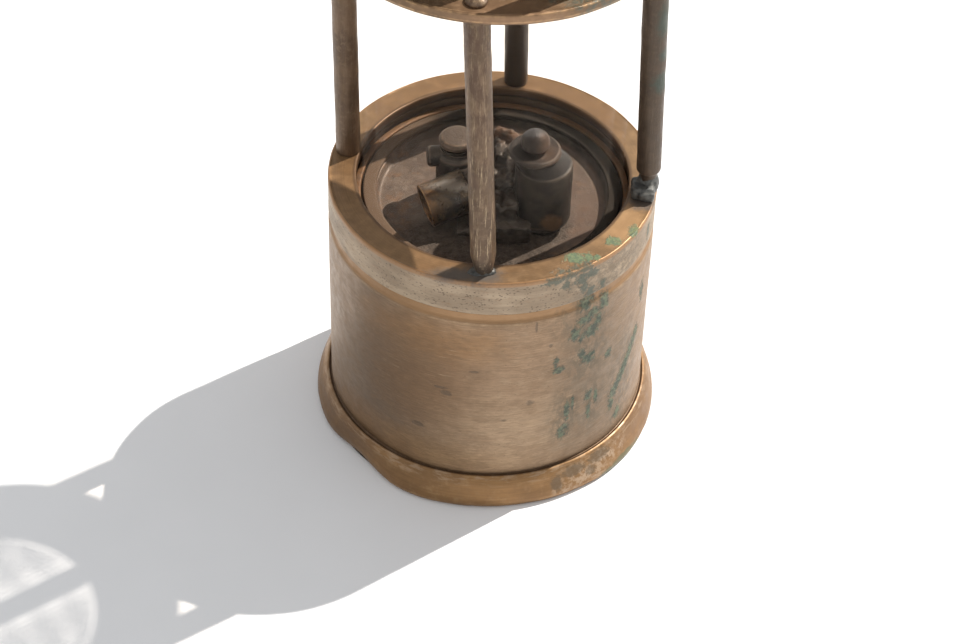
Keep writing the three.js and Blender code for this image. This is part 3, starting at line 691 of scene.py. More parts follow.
def deck_copper():
    shader = Metal("deck_copper", (106, 91, 79), (88, 74, 65), (124, 110, 98), (134, 100, 70),
                   grain=(2.0, 2.0, 2.0), blotch=9.0, edge=0.15, mottle=0.7, corner=0.2)
    shader.coat(shader.clouds(6.0, 5, 0.66, 0.5, 0.64), 0.45, (128, 92, 62))
    shader.coat(shader.patch((27, -8, DECK_TOP), (9, 17, 5), 0.5, 3.0, 0.4), 0.6, (92, 72, 60))
    # Soot with painted shade over it: thick in front of the burner, where its shadow falls, and on the ledge
    # that the glass stands on, but for its left, where the ring shades the rest.
    across = shader.calc("ADD", shader.position(X), shader.times(shader.noise(5.0), 12.0))
    ledge = shader.times(shader.outward(27.2, 28.2), shader.remap(across, -20, -2))
    soot_and_shade = shader.patches(((-1, -18, DECK_TOP), (17, 9, 5), 0.5, 3.0, 0.35),
                          ((-15, -15, DECK_TOP), (7, 5, 4), 0.6, 2.5, 0.4),
                          ((BOSS_AXIS[0] - 1, BOSS_AXIS[1], DECK_TOP), (8.2, 9, 4), 0.4, 2.5, 0.3),
                          ((-6, -2, DECK_TOP), (9, 8, 4), 0.4, 2.5, 0.4))
    fleck = shader.clouds(1.2, 5, 0.7, 0.35, 0.65)
    shader.cover(shader.times(soot_and_shade, 0.93), shader.between(fleck, (64, 56, 50), (100, 88, 78)))
    shader.cover(shader.times(ledge, 0.95), shader.between(fleck, (44, 38, 33), (70, 61, 51)))
    shader.coat(shader.along(Z, DECK.top - 1.0, DECK.top - 0.4), 0.8, (122, 88, 56))
    grime = shader.clouds(2.4, 6, 0.74, 0.5, 0.66)
    shader.coat(grime, 0.5, (72, 62, 55))
    shader.coat(shader.clouds(0.7, 3, 0.6, 0.62, 0.74), 0.3, (140, 126, 112))
    covered = shader.any_of([soot_and_shade, ledge])
    relief = shader.relief((shader.small, 0.08, 0.9), (grime, 0.05, 0.9),
                           (shader.times(fleck, soot_and_shade), 0.2, 0.9))
    return shader.surface(shader.plus(shader.roughness(0.44, 0.62), covered, 0.2),
                          shader.minus(0.3, covered, 0.2), relief)


def tube_brass():
    shader = Metal("tube_brass", (98, 86, 72), (74, 70, 66), (124, 104, 80), (190, 148, 98),
                   grain=(0.6, 0.6, 0.6), blotch=6.0, edge=0.9, mottle=0.8)
    shader.coat(shader.patch((-16.4, -10.9, 70.4), (4.4, 6.4, 6.4), 0.6, 2.0, 0.5), 0.6, (150, 106, 64))
    shader.coat(shader.clouds(3.4, 5, 0.7, 0.48, 0.62), 0.5, (52, 52, 54))
    # Painted highlight: a pale streak along the top of the tube.
    crest = TUBE_START + TUBE_WAY * 6.5 + Vector((0, -1.6, 5.0))
    shader.coat(shader.patch(crest, (5.0, 1.3, 1.6), 0.8, 1.6, 0.6), 0.75, (170, 162, 152))
    return shader.surface(shader.roughness(0.26, 0.42), 0.7, shader.relief((shader.small, 0.05, 1.0)))


def crown_brass():
    shader = Metal("crown_brass", (124, 97, 70), (96, 76, 56), (150, 122, 92), (186, 150, 108),
                   grain=(4.0, 4.0, 0.5), blotch=9.0, edge=0.75, mottle=0.6)
    # Painted light: a paler patch on the front of the plate.
    shader.coat(shader.patch((2, -38, PLATE.top), (12, 5, 4), 0.7, 3.0, 0.6), 0.4, (160, 124, 94))
    area = shader.patches((around(304, 39, PLATE.top), (12, 6, 5), 0.7, 3.0, 0.7),
                          (around(322, 38.5, PLATE.top), (8, 9, 5), 0.7, 3.0, 0.7),
                          (around(60, 30, HOOD.top - 4), (13, 10, 8), 0.8, 3.0, 0.6),
                          (around(250, 33, HOOD.low + 2), (9, 7, 6), 0.8, 3.0, 0.6))
    green = shader.crust(shader.times(area, 0.55), 2.0)
    shader.coat(green, 0.8, (70, 82, 72))
    # Dark with heat over the gauze.
    shader.coat(shader.outward(29.0, 22.0), 0.6, (64, 54, 47))
    relief = shader.relief((shader.small, 0.07, 0.8), (green, 0.07, 0.7))
    return shader.surface(shader.roughness(0.34, 0.52), shader.minus(0.5, green, 0.4), relief)


def pillar_brass():
    shader = Metal("pillar_brass", (108, 87, 68), (80, 64, 50), (128, 107, 86), (142, 116, 88),
                   grain=(0.5, 0.5, 5.0), blotch=7.0, edge=0.5, mottle=0.7)
    # The front pillar is the most handled one; its patina is rubbed through in fine streaks.
    front = shader.along(Y, -28, -31)
    rosy = shader.times(shader.clouds((1.5, 1.5, 5.0), 5, 0.6, 0.46, 0.62), front)
    shader.coat(rosy, shader.along(Z, 88, 128, 0.35, 0.95), (84, 64, 50))
    streaks = shader.clouds((0.35, 0.35, 7.0), 6, 0.74, 0.54, 0.64)
    share = shader.calc("ADD", 0.1, shader.times(front, shader.along(Z, 135, 84, 0.2, 0.9)))
    share = shader.times(share, shader.clouds((1.8, 1.8, 9.0), 4, 0.6, 0.36, 0.54))
    shader.coat(streaks, share, (190, 168, 136))
    shader.coat(shader.clouds((2.0, 2.0, 8.0), 4, 0.6, 0.5, 0.7), 0.4, (100, 80, 54))
    shader.coat(shader.times(shader.along(Z, RING.top + 6, RING.top + 1), front), 0.6, (72, 66, 60))
    # Soot and painted shade on the back pillar, and a darker right one with green patches.
    shader.coat(shader.along(Y, 30, 34), shader.along(Z, 145, 80, 0.6, 0.9), (34, 27, 23))
    shader.coat(shader.along(X, 29, 32), 0.6, (58, 51, 44))
    green = shader.patches(((39.0, -7.4, 109), (2.4, 3.0, 3.0), 0.9, 1.3, 0.5),
                           ((39.2, -7.4, 117), (1.8, 2.4, 1.8), 0.9, 1.3, 0.5),
                           ((38.4, -7.4, 127), (2.2, 2.8, 4.5), 0.9, 1.6, 0.6))
    shader.coat(green, 0.7, (38, 60, 48))
    relief = shader.relief((shader.lines, 0.03, 1.0), (streaks, 0.02, 0.8), (shader.small, 0.06, 0.8))
    return shader.surface(shader.roughness(0.38, 0.56), shader.minus(0.5, green, 0.4), relief)


def sooty_metal():
    shader = Shader("burner_soot")
    lump = shader.noise(2.8, 6, 0.68)
    fine = shader.noise(0.5, 4, 0.6)
    shader.color = shader.between(shader.remap(lump, 0.36, 0.64), (40, 36, 33), (62, 55, 49))
    shader.coat(shader.remap(fine, 0.54, 0.74), 0.6, (88, 78, 68))
    # Painted light: faces that look up, below the arch, are made paler.
    upward = shader.times(shader.remap(shader.part_of(shader.facing, Z), 0.3, 0.8),
                          shader.along(Z, 83.0, 81.5))
    shader.coat(upward, 0.5, (96, 86, 77))
    shader.coat(shader.remap(shader.wear(), 0.3, 0.9), 0.35, (112, 96, 80))
    # Painted shadow: the black gap under the boss; its shoulder is made darker.
    gap = shader.patch((BOSS_AXIS[0] - 1, BOSS_AXIS[1], 66), (9, 9, 3), 0.1, 2.0, 0.1)
    shader.coat(shader.times(gap, shader.along(Z, 67.4, 66.6)), 0.9, (16, 14, 13))
    shoulder = shader.patch((BOSS_AXIS[0] + 1.5, BOSS_AXIS[1], 86), (10.5, 10.5, 6), 0.1, 2.0, 0.1)
    shader.coat(shader.times(shoulder, shader.along(Z, 84.2, 84.7)), 0.85, (36, 32, 29))
    # Scorched copper shows on the arch beside the valve, with pale spots of ash under painted highlights.
    copper = shader.patches(((5.4, 0.6, 84), (3.2, 3.0, 3.0), 0.8, 1.4, 0.6),
                            ((1.6, 3.8, 83.6), (2.4, 1.6, 2.0), 0.8, 1.4, 0.6))
    shader.coat(copper, 0.7, (112, 82, 60))
    ash_and_glint = shader.patches(((3.4, -1.4, 83.4), (1.6, 2.4, 2.0), 0.8, 1.0, 0.6),
                         ((4.6, -6.5, 83), (1.4, 2.4, 2.0), 0.8, 1.0, 0.6))
    shader.coat(ash_and_glint, 0.6, (122, 114, 106))
    # A painted highlight along the boss's rim, and brown low on its flat.
    rim = shader.times(shader.along(Z, 83.9, 84.4), shader.along(Z, 84.9, 84.6))
    rim = shader.times(rim, shader.patch((BOSS_AXIS[0] + 5, BOSS_AXIS[1] - 4, 85), (5, 6, 2), 0.5, 2.0, 0.5))
    shader.coat(rim, 0.25, (112, 98, 84))
    shader.coat(shader.patch((14.8, -14.4, 70.5), (2.6, 1.6, 2.4), 0.7, 1.2, 0.4), 0.7, (124, 94, 66))
    relief = shader.relief((lump, 0.2, 0.8), (fine, 0.06, 0.8))
    return shader.surface(shader.remap(fine, 0.3, 0.7, 0.42, 0.66), 0.3, relief)


def cap_metal():
    shader = Metal("cap_metal", (88, 75, 65), (68, 59, 52), (108, 93, 80), (140, 118, 98),
                   grain=(1.0, 1.0, 1.0), blotch=4.0, edge=0.5, mottle=0.6)
    # The knob and its gland are sootier than the caps and rusty on the right, with a bluish painted highlight
    # on top.
    x, y = VALVE
    top = KNOB.top
    shader.coat(shader.patch((x - 1.5, y, top - 2), (8.0, 9.0, 9.0), 0.4, 1.6, 0.3), 0.85, (46, 41, 39))
    shader.coat(shader.patch((x + 3.0, y - 1.5, top - 3.4), (2.6, 3.2, 3.0), 0.9, 1.2, 0.6),
                0.35, (112, 82, 58))
    # Painted highlight on the top of the knob.
    shader.coat(shader.patch((x - 1.2, y + 0.2, top), (2.4, 2.2, 1.6), 0.7, 1.2), 0.5, (96, 96, 98))
    relief = shader.relief((shader.small, 0.16, 0.9), (shader.noise(0.4, 4, 0.6), 0.05, 0.8))
    return shader.surface(shader.roughness(0.46, 0.66), 0.4, relief)


def solder_grey():
    shader = Shader("solder")
    lump = shader.noise(2.0, 5, 0.62)
    shader.color = shader.between(shader.remap(lump, 0.38, 0.62), (64, 64, 62), (94, 93, 89))
    # Painted glint on the edge of the right lump.
    bright = shader.patch((39.4, -8.2, RING.top + 0.8), (1.0, 1.4, 0.9), 0.8, 1.0, 0.5)
    shader.coat(bright, 0.6, (150, 150, 144))
    relief = shader.relief((lump, 0.1, 0.8), (shader.noise(0.5, 3), 0.04, 0.6))
    return shader.surface(shader.remap(lump, 0.3, 0.7, 0.4, 0.62), 0.35, relief)


def tinplate():
    shader = Shader("tinplate")
    stain = shader.noise(9.0, 5)
    shader.color = shader.between(shader.cells(4.0), (176, 174, 166), (196, 194, 188))
    shader.cover(shader.remap(stain, 0.5, 0.7), tone(128, 112, 92))
    return shader.surface(shader.remap(stain, 0.3, 0.7, 0.28, 0.5), 0.9, shader.relief((stain, 0.05, 1.0)))


def seal_rubber():
    shader = Shader("seal_rubber")
    lump = shader.noise(1.2, 5)
    shader.color = shader.between(shader.remap(lump, 0.35, 0.65), (32, 28, 24), (52, 45, 38))
    # The lower seal is dusty brown on its left, made lighter there as painted light, and sooty elsewhere.
    shader.coat(shader.times(shader.along(X, -10, -22), shader.along(Z, 90, 80)), 0.9, (108, 91, 77))
    crazing = shader.cells((1.5, 1.5, 1.5))
    return shader.surface(shader.remap(lump, 0.3, 0.7, 0.7, 0.9), 0.0, shader.relief((crazing, 0.02, 1.0)),
                          Specular_IOR_Level=0.15)


def felt_wool():
    shader = Shader("felt")
    fuzz = shader.noise(0.4, 6, 0.75, 1.5)
    shader.color = shader.between(fuzz, (150, 140, 118), (206, 196, 172))
    return shader.surface(0.95, 0.0, shader.relief((fuzz, 0.3, 1.0)), Sheen_Weight=0.4)


def burner_ceramic():
    shader = Shader("burner_ceramic")
    stain = shader.along(Z, 90, 94.4)
    shader.color = shader.between(shader.times(stain, shader.noise(1.2)), (206, 194, 170), (72, 60, 50))
    relief = shader.relief((shader.noise(0.5), 0.04, 1.0))
    return shader.surface(shader.remap(stain, 0, 1, 0.6, 0.8), 0.0, relief)


def gauze_steel():
    shader = Shader("gauze_steel")
    heat = shader.noise((9.0, 9.0, 16.0), 5, 0.6)
    fine = shader.noise(0.8, 3)
    shader.color = shader.between(shader.remap(heat, 0.38, 0.62), (96, 88, 80), (138, 126, 112))
    shader.coat(shader.remap(heat, 0.58, 0.72), 0.6, (122, 82, 58))
    return shader.surface(shader.remap(fine, 0.3, 0.7, 0.4, 0.65), 0.8, shader.relief((fine, 0.03, 1.0)))


def hook_steel():
    shader = Metal("hook_steel", (84, 76, 70), (62, 52, 46), (112, 102, 92), (136, 126, 116),
                   grain=(1.5, 1.5, 1.5), blotch=4.0, edge=0.8)
    rust = shader.clouds(1.7, 6, 0.7, 0.54, 0.68)
    shader.coat(rust, 0.7, (112, 70, 46))
    return shader.surface(shader.remap(rust, 0, 1, 0.4, 0.75), 0.75, shader.relief((shader.small, 0.1, 0.8)))


def clear_glass():
    """Thin clear glass: light passes straight through with a warm tint, and it shines at the edges."""
    shader = Shader("clear_glass")
    shader.color = tone(206, 198, 188)
    shader.surface(0.05)
    glossy, out = [next(node for node in shader.tree.nodes if node.type == kind)
                   for kind in ("BSDF_PRINCIPLED", "OUTPUT_MATERIAL")]
    through = shader.node("ShaderNodeBsdfTransparent")
    through.inputs["Color"].default_value = (0.996, 0.976, 0.954, 1.0)
    layer = shader.node("ShaderNodeLayerWeight")
    layer.inputs["Blend"].default_value = 0.25
    shine = shader.times(shader.calc("POWER", layer.outputs["Facing"], 4.0), 0.16)
    dust = shader.times(shader.clouds(5.0, 6, 0.7, 0.45, 0.8), 0.02)
    share = shader.plus(shader.calc("ADD", shine, dust), shader.clouds(0.8, 2, 0.5, 0.74, 0.79), 0.12)
    share = shader.calc("ADD", share, 0.008, True)
    mixer = shader.node("ShaderNodeMixShader")
    for socket, source in zip(mixer.inputs, (share, through.outputs[0], glossy.outputs[0])):
        shader.put(socket, source)
    shader.put(out.inputs["Surface"], mixer.outputs[0])
    return shader.material


def paper_floor():
    shader = Shader("paper_floor")
    shader.color = shader.between(shader.clouds(60.0, 3, 0.55, 0.3, 0.7), (236, 236, 237), (240, 240, 241))
    return shader.surface(0.9, 0.0, shader.relief((shader.noise(0.6, 3), 0.03, 0.4)))


FINISH = {
    "pot_brass": pot_brass(), "ring_brass": ring_brass(), "foot_brass": foot_brass(),
    "deck_copper": deck_copper(), "crown_brass": crown_brass(), "pillar_brass": pillar_brass(),
    "burner_soot": sooty_metal(), "cap_metal": cap_metal(), "solder": solder_grey(), "tinplate": tinplate(),
    "seal_rubber": seal_rubber(), "felt": felt_wool(), "burner_ceramic": burner_ceramic(),
    "gauze_steel": gauze_steel(), "hook_steel": hook_steel(), "clear_glass": clear_glass(),
}
TUBE = tube_brass()


# ---- pot ----
def wall_shape(point):
    """Hand-worn wall: slightly out of round, with a screw thread round the neck."""
    radius = axis_distance(point)
    if NECK_R - 0.7 < radius < NECK_R + 0.01 and 63.9 < point.z < 69.3:
        turns = point.z / 2.5 - azimuth(point) / 360
        return pushed(point, -0.35 * (0.5 + 0.5 * math.cos(2 * math.pi * turns)))
    if radius < POT.r - 1:
        return point
    low = -0.12 * (0.5 + 0.5 * noise.noise(point / 14.0))
    for angle, height, size, depth in ((250, 34, 4.0, 0.25), (247, 22.5, 4.5, 0.3), (286, 33, 3.5, 0.2),
                                       (222, 14, 12.0, 0.5), (120, 40, 6.0, 0.4), (35, 25, 5.0, 0.3)):
        along = math.radians((azimuth(point) - angle + 180) % 360 - 180) * POT.r
        low -= depth * hump(math.hypot(along, point.z - height), 0, size)
    return pushed(point, low)


def foot_shape(point):
    """The foot is knocked in at the front left and buckled beside it."""
    radius = axis_distance(point)
    if radius < 41.6:
        return point
    here = azimuth(point)
    swing = 0.5 * hump(here, 248, 14) + 0.5 * hump(here, 325, 20) - 2.7 * hump(here, 222, 12)
    buckle = 0.18 * noise.noise(point / 7.0) - 0.12 if 190 < here < 340 else 0.0
    low = clamped((FOOT.top - point.z) / FOOT.top)
    return pushed(point, low * swing + buckle * min(1.0, (radius - 41.6) / 2))


def build_pot():
    top = POT.top
    wall = [
        (38.5, POT.low, 0), (POT.r, POT.low, 0.3), (POT.r, 60.4, 1.0), (39.9, 61.3, 0.6), (39.9, 63.4, 0.2),
        (NECK_R, 63.4, 0.3), (NECK_R, 69.5, 0.3), (NECK_R - 0.6, top, 0.4), (NECK_BORE + 0.4, top, 0.4),
        (NECK_BORE, top - 0.7, 0.4), (NECK_BORE, 61.0, 1.0), (38.5, 58.8, 1.0),
    ]
    bm = lathe_mesh(wall, 160, step=0.9, shape=wall_shape)
    piece("pot_wall_skin", bm, "pot_brass", "pot", "pot_wall", sharp=60)

    top, foot_r = FOOT.top, FOOT.r
    foot = [
        (37.3, 1.6, 0), (38.6, 1.6, 0.3), (39.6, 1.0, 0.3), (39.6, 0, 0.3), (foot_r - 0.7, 0, 0.5),
        (foot_r, 1.3, 0.8), (foot_r - 0.2, 3.2, 1.2), (foot_r - 0.9, 5.2, 1.4), (foot_r - 1.4, 6.8, 1.2),
        (foot_r - 2.0, top - 1.3, 1.0), (foot_r - 2.7, top - 0.4, 0.8), (foot_r - 3.2, top - 0.2, 0.3),
        (POT.r + 0.3, top - 0.6, 0.4), (POT.r - 0.8, top - 0.3, 0), (POT.r - 0.8, 3.8, 0), (37.3, 3.8, 0),
    ]
    piece("foot_skin", lathe_mesh(foot, 160, step=0.9, shape=foot_shape), "foot_brass", "pot", "pot_foot")

    plate = [(0, 1.6, 0), (12, 1.7, 0), (36.5, 1.6, 0.3), (37.0, 2.2, 0.3), (37.0, 3.8, 0.2), (0, 3.8, 0)]
    bm = lathe_mesh(plate, 120, step=2.0, shape=uneven(9.0, 0.12))
    piece("base_skin", bm, "foot_brass", "pot", "base_plate")


def build_deck():
    rim = NECK_BORE - 0.3
    top = DECK.top
    deck = [
        (0, 64.3, 0), (29.4, 64.3, 0.3), (29.6, 66.0, 0.4), (rim, 66.0, 0.3), (rim, top, 0.4),
        (rim - 1.6, top, 0.4), (rim - 1.75, 67.2, 0.1), (28.6, 67.2, 0.5), (27.8, DECK_TOP, 0.8),
        (0, DECK_TOP, 0),
    ]
    bm = lathe_mesh(deck, 120, step=1.2, shape=uneven(10.0, 0.12))
    piece("deck_skin", bm, "deck_copper", "pot", "deck_plate")


# ---- burner group ----
worn = uneven(3.0, 0.1)


def build_boss():
    low, rim, top = BOSS.low, 84.6, BOSS.top
    boss = [
        (1.5, low, 0), (BOSS_R - 1.7, low, 0.3), (BOSS_R - 1.3, low + 1.5, 0.4), (BOSS_R, low + 2.5, 0.8),
        (BOSS_R, rim - 0.8, 0.4), (BOSS_R - 0.1, rim - 0.1, 0.25), (BOSS_R - 0.5, rim + 0.2, 0.2),
        (5.7, top - 0.2, 0.3), (5.3, top, 0.2), (1.5, top, 0.2),
    ]
    to_valve = Vector((VALVE[0] - BOSS_AXIS[0], VALVE[1] - BOSS_AXIS[1], 0))

    def leaning(point):
        """Above its rim the boss leans over to the valve's axis."""
        return worn(point) + to_valve * clamped((point.z - rim) / (top - rim))

    bm = lathe_mesh(boss, 72, step=0.6, at=BOSS_AXIS, shape=leaning)
    for vert in bm.verts:
        # The spanner flat low on the front.
        if vert.co.z < 76.8:
            vert.co.y = max(vert.co.y, BOSS_AXIS[1] - 5.7 + 0.05 * noise.noise(vert.co))
    piece("valve_boss_skin", bm, "burner_soot", "pot", "valve_boss")


def build_valve():
    low, top, radius = GLAND.low, GLAND.top, GLAND.r
    gland = [
        (1.5, low, 0), (radius - 0.4, low, 0.15), (radius, low + 0.4, 0.2), (radius, top - 0.5, 0.3),
        (radius - 0.5, top, 0.3), (4.4, top - 0.1, 0.3), (1.5, top - 0.1, 0.2),
    ]
    bm = lathe_mesh(gland, 72, step=0.5, at=VALVE, shape=uneven(2.5, 0.16))
    piece("valve_gland_skin", bm, "burner_soot", "pot", "valve_gland", FINISH["cap_metal"])

    low, top, radius = KNOB.low, KNOB.top, KNOB.r
    centre = top - radius
    dome = [(1.5, low, 0), (3.0, low, 0.3), (3.0, centre - 0.9, 0.3), (radius, centre - 0.6, 0.2)]
    dome += [(radius * math.cos(turn), centre + (radius - 0.05) * math.sin(turn), 0)
             for turn in (math.pi / 2 * k / 12 for k in range(12))]
    dome.append((0, top - 0.05, 0))
    knob = lathe_mesh(dome, 64, step=0.3, at=VALVE, shape=uneven(2.0, 0.07))
    piece("valve_knob_skin", knob, "cap_metal", "valve_knob", "valve_knob")


def build_filler():
    low, top = NECK.low, NECK.top
    neck = [
        (2.6, low, 0), (5.1, low, 0.3), (5.1, top - 1.7, 0.5), (4.2, top - 0.9, 0.3), (4.2, top, 0.2),
        (2.6, top, 0.1),
    ]
    lug_at = Vector((FILLER[0] - 2.8, FILLER[1] - 0.3, top - 2.7))
    lug = [(0, 0, 0), (2.6, 0, 0), (2.6, 3.9, 0.5), (2.1, 4.55, 0.4), (0, 4.4, 0)]
    lug_line = line_matrix(lug_at, lug_at + Vector((-1, -0.1, 0)))
    both = merged([lathe_mesh(neck, 56, step=0.7, at=FILLER, shape=worn),
                   lathe_mesh(lug, 40, step=0.6, to_line=lug_line, shape=worn)])
    piece("filler_neck_skin", both, "burner_soot", "pot", "filler_neck")

    low, top, radius = CAP.low, CAP.top, CAP.r
    under = top - 2.4
    cap = [
        (0, low, 0), (2.2, low, 0.4), (2.2, under, 0.2), (radius - 0.4, under, 0.3),
        (radius, under + 0.6, 0.3),
        (radius, top - 0.9, 0.5), (radius - 0.6, top - 0.25, 0.5), (2.0, top - 0.05, 0.8), (0, top - 0.05, 0),
    ]
    lid = lathe_mesh(cap, 64, step=0.4, at=FILLER, shape=uneven(2.0, 0.08))
    piece("filler_cap_skin", lid, "cap_metal", "filler_cap", "filler_cap")


def build_casting():
    """The tube, and the rough casting it goes into with the valve and the filler."""
    line = line_matrix(TUBE_START, TUBE_START + TUBE_WAY)
    tube = [(4.45, 0.1, 0.25), (5.4, 0.1, 0.3), (5.4, 10.9, 0.1), (4.45, 10.9, 0.1)]
    bm = lathe_mesh(tube, 72, step=0.5, to_line=line, shape=uneven(3.2, 0.12))
    piece("air_tube_skin", bm, "deck_copper", "pot", "air_tube", TUBE)

    base = BOSS.low
    lumps = [
        block_mesh((-8.4, -15.4, base), (-4.2, -1.4, 67.8), 0.8, 1.0, 0.4),
        block_mesh((-4.2, -15.4, base), (6.3, 1.3, 76.2), 1.2, 2.0, 0.5),
        block_mesh((-3.0, -10.3, base), (4.3, 3.3, 80.2), 1.2, 3.0, 0.5),
        block_mesh((-2.3, -17.8, base), (9.6, -9.2, 71.2), 0.8, 4.0, 0.5),
    ]
    arch = smooth_path([
        (-1.0, 3.4, 79.0), (0.2, 4.2, 82.2), (2.0, 3.6, 83.4), (4.2, 2.4, 83.6), (5.6, 0.4, 83.4),
        (4.6, -2.4, 83.0), (4.2, -5.2, 82.2), (4.4, -8.0, 80.6), (4.4, -10.4, 77.6)], 6)
    lumps.append(sweep_mesh(arch, lambda t: 1.1 + 0.3 * math.sin(math.pi * t), 16))
    lumps.append(block_mesh((0.2, -4.6, base), (5.0, 3.4, 82.8), 0.9, 7.0, 0.5))
    socket = [(0, 10.9, 0), (5.2, 10.9, 0.4), (5.2, 15.4, 0.5), (0, 15.4, 0)]
    lumps.append(lathe_mesh(socket, 40, step=0.8, to_line=line))
    skin = remeshed(merged(lumps), 0.35)
    for vert in skin.verts:
        grit = 0.6 * noise.noise(vert.co / 2.2) + 0.4 * noise.noise(vert.co / 0.8)
        vert.co += vert.normal * clamped((vert.co.z - base) / 2) * (grit - 0.1)
        # A crack runs back from the front edge of the block.
        if vert.co.z > 73 and vert.co.y < -9:
            vert.co.z -= 0.9 * hump(vert.co.x - 2.6 - 0.12 * (vert.co.y + 14), 0, 0.45)
        # The boss and the filler's neck stay clear of the skin.
        for centre, clear in ((BOSS_AXIS, BOSS_R + 0.1), (FILLER, 5.25)):
            away = Vector((vert.co.x - centre[0], vert.co.y - centre[1], 0))
            if 1e-6 < away.length < clear:
                vert.co += away.normalized() * (clear - away.length)
        vert.co.z = max(vert.co.z, base)
    soften(skin, 0.25)
    piece("casting_skin", skin, "burner_soot", "pot", "burner_casting", sharp=180)


def build_jet():
    low, top = STEM.low, STEM.top
    stem = [
        (0.9, low, 0), (1.7, low, 0.1), (1.7, 80.8, 0.2), (2.3, 81.2, 0.2), (2.3, top, 0.3), (0.9, top, 0.1),
    ]
    bm = lathe_mesh(stem, 40, step=0.8, at=JET)
    piece("burner_stem_skin", bm, "deck_copper", "pot", "burner_stem", TUBE)
    low, top = TIP.low, TIP.top
    tip = [
        (0.7, low, 0), (2.2, low, 0.2), (2.2, 91.6, 0.6), (1.6, 93.4, 0.5), (1.1, top, 0.3), (0.7, top, 0.1),
    ]
    piece("burner_tip_skin", lathe_mesh(tip, 40, step=0.5, at=JET), "burner_ceramic", "pot", "burner_tip")


# ---- glass and seals ----
def squeezed(point):
    return rough(point, 4.0, 0.08) if axis_distance(point) < GLASS.r - 0.2 else point


def build_glass():
    inner = GLASS.r - 3.2
    low, top = GLASS.low, GLASS.top
    tube = [(inner, low, 0.5), (GLASS.r, low, 0.5), (GLASS.r, top, 0.5), (inner, top, 0.5)]
    piece("glass_skin", lathe_mesh(tube, 128, step=6.0), "clear_glass", "pot", "glass_cylinder")
    seals = (("lower_seal", "gasket_lower", "pot"), ("upper_seal", "gasket_upper", "glass_seal"))
    for name, node, body in seals:
        low, top = Solid(node).low, Solid(node).top
        ring = [(inner, low, 0.3), (GLASS.r, low, 0.3), (GLASS.r, top, 0.4), (inner, top, 0.4)]
        piece(name, lathe_mesh(ring, 120, step=0.8, shape=squeezed), "seal_rubber", body, node)


# ---- guard frame ----
PILLARS = {
    "left": {"foot": (-35.8, 6.7), "head": (-36.5, 6.1), "lift": 0.0, "thin": 3.0},
    "back": {"foot": (5.1, 36.4), "head": (3.2, 36.3), "lift": 0.0, "thin": 3.0},
    "right": {"foot": (37.9, -4.5), "head": (34.9, -5.8), "lift": 6.4, "thin": 2.0, "step": 0.4, "run": 0.7},
    "front": {"foot": (-1.3, -35.4), "head": (-4.7, -35.1), "lift": 1.2, "thin": 2.3, "step": 0.6,
              "run": 4.0},
}


def ring_shape(point):
    """Handled surface; the band was knurled once and is worn down to faint rows."""
    radius = axis_distance(point)
    if radius < 33.0 or (radius < 36.6 and point.z < RING.top - 1.5):
        return point
    dip = 0.10 * noise.noise(point / 9.0) + 0.04 * noise.noise(point / 2.5) - 0.1
    if point.z > RING.top - 0.6 and radius < RING.r - 0.6:
        return point + Vector((0, 0, dip))
    if RING.top - 11.0 < point.z < RING.top - 2.0 and radius > RING.r - 0.3:
        dip -= 0.05 * (0.5 + 0.5 * math.cos(point.z * 4.2)) * (0.4 + noise.noise(point / 4.0))
    return pushed(point, dip)


def build_ring():
    low, top = RING.low, RING.top
    ring = [
        (36.9, low, 0.2), (RING.r, low, 0.5), (RING.r, top, 0.7), (LIP_R, top, 0.5), (LIP_R, 71.2, 0.3),
        (36.5, 71.2, 0.2), (36.5, low + 0.4, 0.2),
    ]
    bm = lathe_mesh(ring, 176, step=0.7, shape=ring_shape)
    piece("guard_ring_skin", bm, "ring_brass", "guard_frame", "guard_ring")


def rivet_top(base):
    """Outline of a peened head that starts on a shaft."""
    return [(RIVET_R, base, 0.2), (RIVET_R + 0.05, base + 0.6, 0.4), (RIVET_R - 0.9, base + 1.3, 0.6),
            (0, base + 1.5, 0)]


def build_pillars():
    for seed, (name, pillar) in enumerate(PILLARS.items()):
        start = Vector((*pillar["foot"], RING.top))
        end = Vector((*pillar["head"], PLATE.low))
        length = (end - start).length
        shoulder = pillar["lift"]
        thin = pillar["thin"]
        head = length + 2.1
        outline = [(0, 0.05, 0), (thin, 0.05, 0.2)]
        if shoulder:
            outline += [(thin, shoulder, 0.2), (PILLAR_R - pillar["step"], shoulder + 0.1, 0.2),
                        (PILLAR_R, shoulder + pillar["run"], 0.5)]
        outline += [(PILLAR_R, length - 0.3, 0.1), (1.8, length - 0.1, 0.1), (1.8, head, 0)]
        bm = lathe_mesh(outline + rivet_top(head), 48, step=1.0, to_line=line_matrix(start, end),
                        shape=uneven(5.0, 0.1, seed * 3.7))
        piece(f"pillar_{name}_skin", bm, "pillar_brass", "guard_frame", f"pillar_{name}")


def lump_mesh(centre, size, seed, floor):
    """An uneven blob of solder that sits on a level."""
    bm = new_bmesh()
    bmesh.ops.create_icosphere(bm, subdivisions=5, radius=1.0)
    for vert in bm.verts:
        way = vert.co.copy()
        swell = (1 + 0.2 * noise.noise(way * 1.5 + Vector((seed, 0, 0)))
                 + 0.12 * noise.noise(way * 4 + Vector((0, seed, 0))))
        vert.co = Vector([way[n] * swell * size[n] + centre[n] for n in range(3)])
        vert.co.z = max(vert.co.z, floor)
    return bm


def solder_piece(name, lumps, floor):
    """Lumps run together: remeshed as one and melted smooth."""
    skin = remeshed(merged(lumps), 0.22)
    for _ in range(4):
        soften(skin, 0.5)
    for vert in skin.verts:
        vert.co += vert.normal * clamped(vert.co.z - floor) * 0.16 * noise.noise(vert.co / 1.1)
        vert.co.z = max(vert.co.z, floor)
    piece(f"{name}_skin", skin, "solder", "guard_frame", name, sharp=180)


